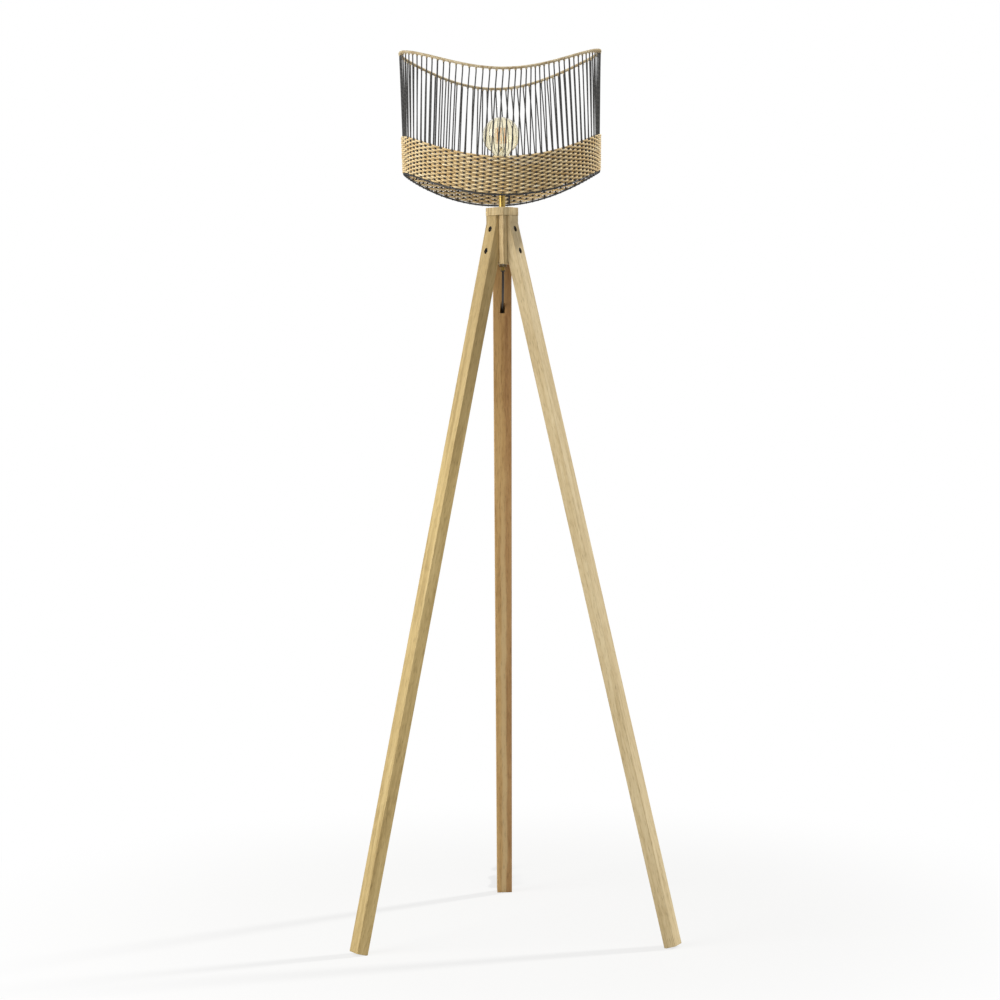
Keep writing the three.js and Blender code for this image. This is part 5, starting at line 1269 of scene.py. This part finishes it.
def smooth_path(points, parts):
    """A centripetal Catmull-Rom curve through points, each stretch in equal parts"""
    points = [Vector(p) for p in points]
    points = [2 * points[0] - points[1]] + points + [2 * points[-1] - points[-2]]
    path = []
    for a, b, c, d in zip(points, points[1:], points[2:], points[3:]):
        ta = 0
        tb = ta + (b - a).length ** 0.5
        tc = tb + (c - b).length ** 0.5
        td = tc + (d - c).length ** 0.5
        for i in range(parts):
            t = tb + (tc - tb) * i / parts
            ab = a.lerp(b, (t - ta) / (tb - ta))
            bc = b.lerp(c, (t - tb) / (tc - tb))
            cd = c.lerp(d, (t - tc) / (td - tc))
            abc = ab.lerp(bc, (t - ta) / (tc - ta))
            bcd = bc.lerp(cd, (t - tb) / (td - tb))
            path.append(abc.lerp(bcd, (t - tb) / (tc - tb)))
    return path + [points[-2]]


hank_top = HANK_REST + HANK_LAYER_STEP * (HANK_RUNS - 1) / 2
plug_entry = PLUG_HEIGHT / 2
lead_fall = hank_top - plug_entry
# Each point's share of the hank's half width, its distance past the hank's end, and its height
lead_route = [
    (1, STRAIGHT_LEAD, hank_top),
    (1 - LEAD_SHARE, PLUG_GAP / 4, hank_top - lead_fall * LEAD_SHARE),
    (1 / 2, PLUG_GAP / 2, plug_entry + lead_fall / 2),
    (LEAD_SHARE, PLUG_GAP * 3 / 4, plug_entry + lead_fall * LEAD_SHARE),
    (0, PLUG_GAP - STRAIGHT_LEAD, plug_entry),
    (0, PLUG_GAP - FIT, plug_entry),
]
lead_route = [
    hank_place(-HANK_HALF_WIDTH * share, HANK_LENGTH + past, height) for share, past, height in lead_route
]
cord_route = [CORD_EXIT] + DROP_ROUTE + [beside_leg(height) for height in LEG_RUN_HEIGHTS] + TAIL_ROUTE
cord_route.append(hank_place(-HANK_HALF_WIDTH, -STRAIGHT_LEAD, HANK_REST))
cord_route += hank_route() + lead_route
cord_path = [Vector((x, y, z)) * MM + AXIS for x, y, z in smooth_path(cord_route, 4)]

# PVC flex, extruded: black with a dull sheen, and faint lengthwise variation
flex = moulded("Black PVC flex", "#2f2c29", 0.45, 1.5)

power_cord = round_curve("power_cord", [cord_path], CORD_RADIUS, 3)
power_cord.data.materials.append(flex)
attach(power_cord, "lamp_base")
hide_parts("cord_drop", "cord_leg_run", "cord_tail", "cord_hank", "cord_plug_lead")
dress_node("cord_in_pipe", flex)

# Cord clips
# Three small clips of black nylon hold the cord straight. Each is nailed to the rear leg's outer face with
# one steel nail.
# Injection-moulded nylon: black, with a dull even sheen
clip_plastic = moulded("Black clip nylon", "#242322", 0.5, 0.8)
for i in (1, 2, 3):
    clip_mesh = eased_copy(f"cord_clip_{i}", 0.3 * MM)
    add_piece(f"nylon_clip_{i}", clip_mesh, clip_plastic, "lamp_base", "black_moulding", f"cord_clip_{i}")
    dress_node(f"clip_nail_{i}", plated_steel)

# Hank tie
# A strip of black hook-and-loop strap in woven nylon, pulled tight round the waist of the hank and pressed
# onto itself.

# Hook-and-loop strap: dull, with a short pile 0.8 mm wide, drawn at twice its real size
strap, add, shader = new_material("Hook-and-loop strap", {"Roughness": 0.9, "Sheen Weight": 0.4})
place = add("TexCoord")
pile = add("TexVoronoi", {"Vector": place.outputs["Object"], "Scale": 1250})
tone = add("ValToRGB", [pile], {"stops": [(0.0, "#3a3937"), (0.6, "#232221")]})
bump = add("Bump", {"Strength": 0.6, "Distance": 0.3 * MM, "Height": pile}, {"invert": True})
set_inputs(shader, {"Base Color": tone, "Normal": bump})
strap_mesh = eased_copy("hank_tie", 0.35 * MM)
add_piece("hank_strap", strap_mesh, strap, "lamp_base", "tie_strap", "hank_tie")

# Plug
# A two-blade plug moulded onto the cord in black PVC, with finger grips on its sides and a tapered, slotted
# strain relief. The blades are nickel-plated.
PLUG_PLACE = Vector(hank_place(0, HANK_LENGTH + PLUG_GAP, 0)) * MM + AXIS
RELIEF_LENGTH = 20
RELIEF_TIP = 2.9
RELIEF_GROWTH = 1.4
RELIEF_SLOTS = 6
FIRST_SLOT = 1.4
SLOT_STEP = 3.1
FINGER_GRIPS = 4
FIRST_GRIP = 31.6
GRIP_STEP = 3.0
PLUG_POINTS = 44


def plug_section(y, half_width, half_height, power):
    """A ring round the plug at a distance from the relief's tip. Power 2 is round and 4 nearly square"""
    ring = []
    for i in range(PLUG_POINTS):
        angle = 2 * math.pi * i / PLUG_POINTS
        x = half_width * math.copysign(abs(math.cos(angle)) ** (2 / power), math.cos(angle))
        z = half_height * math.copysign(abs(math.sin(angle)) ** (2 / power), math.sin(angle))
        ring.append((x, y, PLUG_HEIGHT / 2 + z))
    return ring


# The relief's tip, its slotted cone, the shoulder, the grips and the face with the blades
sections = [(0, 2.6, 2.6, 2), (0.4, 2.9, 2.9, 2)]
for i in range(RELIEF_SLOTS):
    start = FIRST_SLOT + i * SLOT_STEP
    wide = RELIEF_TIP + RELIEF_GROWTH * start / RELIEF_LENGTH
    for past, change in ((0, 0), (0.25, -0.7), (1.05, -0.65), (1.3, 0.1)):
        sections.append((start + past, wide + change, wide + change, 2))
sections += [
    (19.6, 4.3, 4.3, 2), (20.4, 5.4, 5.4, 2.3), (22.0, 7.2, 6.6, 2.8), (24.5, 9.6, 7.2, 3.4),
    (27.5, 11.5, 7.45, 4), (30.0, 12.0, 7.5, 4.4),
]
for i in range(FINGER_GRIPS):
    start = FIRST_GRIP + i * GRIP_STEP
    sections += [
        (start + past, wide, 7.5, 4.6) for past, wide in ((0, 12.0), (0.3, 11.3), (1.2, 11.3), (1.5, 12.0))
    ]
sections += [(48.6, 12.0, 7.5, 4.8), (49.6, 11.6, 7.1, 4.8), (50.0, 10.9, 6.4, 4.8)]
plug_rings = [[(0, 0, PLUG_HEIGHT / 2)]]
plug_rings += [plug_section(*section) for section in sections]
plug_rings.append([(0, 50.0, PLUG_HEIGHT / 2)])
plug_turn = Matrix.Translation(PLUG_PLACE) @ Matrix.Rotation(-HANK_HEADING, 4, "Z")
# PVC, moulded onto the cord: black and dull, with a fine grain
plug_pvc = moulded("Black plug PVC", "#252423", 0.5, 0.7)
plug_mesh = lofted_mesh("moulded_plug", plug_rings, plug_turn, 40)
add_piece("moulded_plug", plug_mesh, plug_pvc, "lamp_base", "plug_moulding", "plug_body")
for side in ("left", "right"):
    dress_node("plug_blade_" + side, plated_steel)

# Floor and backdrop
# A wide pale studio floor that runs into a white background and keeps the lamp's soft shadow, and a sky
# that shows white.
FLOOR_REACH = 60.0


def add_seen(add):
    """Nodes for 1 where the camera sees a surface, in a reflection or through glass too, and else 0"""
    rays = add("LightPath")
    seen = add("Math", [rays.outputs["Is Camera Ray"], rays.outputs["Is Glossy Ray"]], "MAXIMUM")
    return add("Math", [seen, rays.outputs["Is Transmission Ray"]], "MAXIMUM")


floor_material = bpy.data.materials.new("Pale studio floor")
floor_material.use_nodes = True
floor_material.node_tree.nodes.clear()
add = partial(add_node, floor_material.node_tree)
seen = add_seen(add)
# The shadow fades out 0.4 to 1.2 m from the lamp, where the floor runs into the white background
place = add("TexCoord")
away = add("VectorMath", [place.outputs["Object"]], "LENGTH")
clear = add("MapRange", [away.outputs["Value"], 0.4, 1.2, 0.75, 1.0], {"interpolation_type": "SMOOTHSTEP"})
shaded = add("BsdfDiffuse", {"Color": "#cccbc8"})
bright = add("Emission", {"Color": "#ffffff", "Strength": 1.0})
shown = add("MixShader", [clear, shaded, bright])
bounce = add("BsdfDiffuse", {"Color": "#b4b2ae"})
mixed = add("MixShader", [seen, bounce, shown])
add("OutputMaterial", {"Surface": mixed})

floor_mesh = bpy.data.meshes.new("studio_floor")
floor_corners = [(x * FLOOR_REACH, y * FLOOR_REACH, 0) for x, y in ((-1, -1), (1, -1), (1, 1), (-1, 1))]
floor_mesh.from_pydata(floor_corners, [], [(0, 1, 2, 3)])
floor_mesh.materials.append(floor_material)
add_object("studio_floor", floor_mesh)

world = bpy.data.worlds.new("studio")
world.use_nodes = True
bpy.context.scene.world = world
world.node_tree.nodes.clear()
add = partial(add_node, world.node_tree)
# The sky lights the lamp at about a third of the strength at which it is seen
strength = add("MapRange", {"Value": add_seen(add), 3: 0.35, 4: 1.0})
sky = add("Background", {"Color": "#ffffff", "Strength": strength})
add("OutputWorld", {"Surface": sky})

# Lights: a key from the right and behind, which casts the shadows, a large soft box at the left front and
# one overhead
KEY_PLACE = Vector((1366, 481, 1261))
KEY_STRENGTH = 2.7
KEY_WIDTH = math.radians(5)
BOX_TARGET = Vector((0, AXIS_Y, 0.85))


def facing(direction):
    """The turn of a light whose back points in this direction"""
    return direction.to_track_quat("Z", "Y").to_euler()


key = bpy.data.lights.new("key", "SUN")
key.energy = KEY_STRENGTH
key.angle = KEY_WIDTH
add_object("key", key).rotation_euler = facing(KEY_PLACE)
for name, place, size, power in (
    ("left front", Vector((-2.98, -1.46, 2.05)), 2.4, 82),
    ("top", Vector((-0.6, -1.2, 4.0)), 3.0, 30),
):
    box = bpy.data.lights.new(name, "AREA")
    box.size = size
    box.energy = power
    box_object = add_object(name, box)
    box_object.location = place
    box_object.rotation_euler = facing(place - BOX_TARGET)

# Camera: at the photograph's place, a little to the left of the front and 1.04 m above the floor
CAMERA_PLACE = (-0.1889, -4.4514, 1.0428)
CAMERA_HEADING = -2.33
CAMERA_PITCH = 86.37
CAMERA_ROLL = -0.8
LENS = 90
SENSOR_WIDTH = 36

camera = bpy.data.cameras.new("camera")
camera.lens = LENS
camera.sensor_width = SENSOR_WIDTH
camera.clip_end = 100
camera_object = add_object("camera", camera)
view = Matrix.Translation(CAMERA_PLACE)
for axis, degrees in (("Z", CAMERA_HEADING), ("X", CAMERA_PITCH), ("Z", CAMERA_ROLL)):
    view @= Matrix.Rotation(math.radians(degrees), 4, axis)
camera_object.matrix_world = view
bpy.context.scene.camera = camera_object
bpy.context.scene.view_settings.view_transform = "Standard"
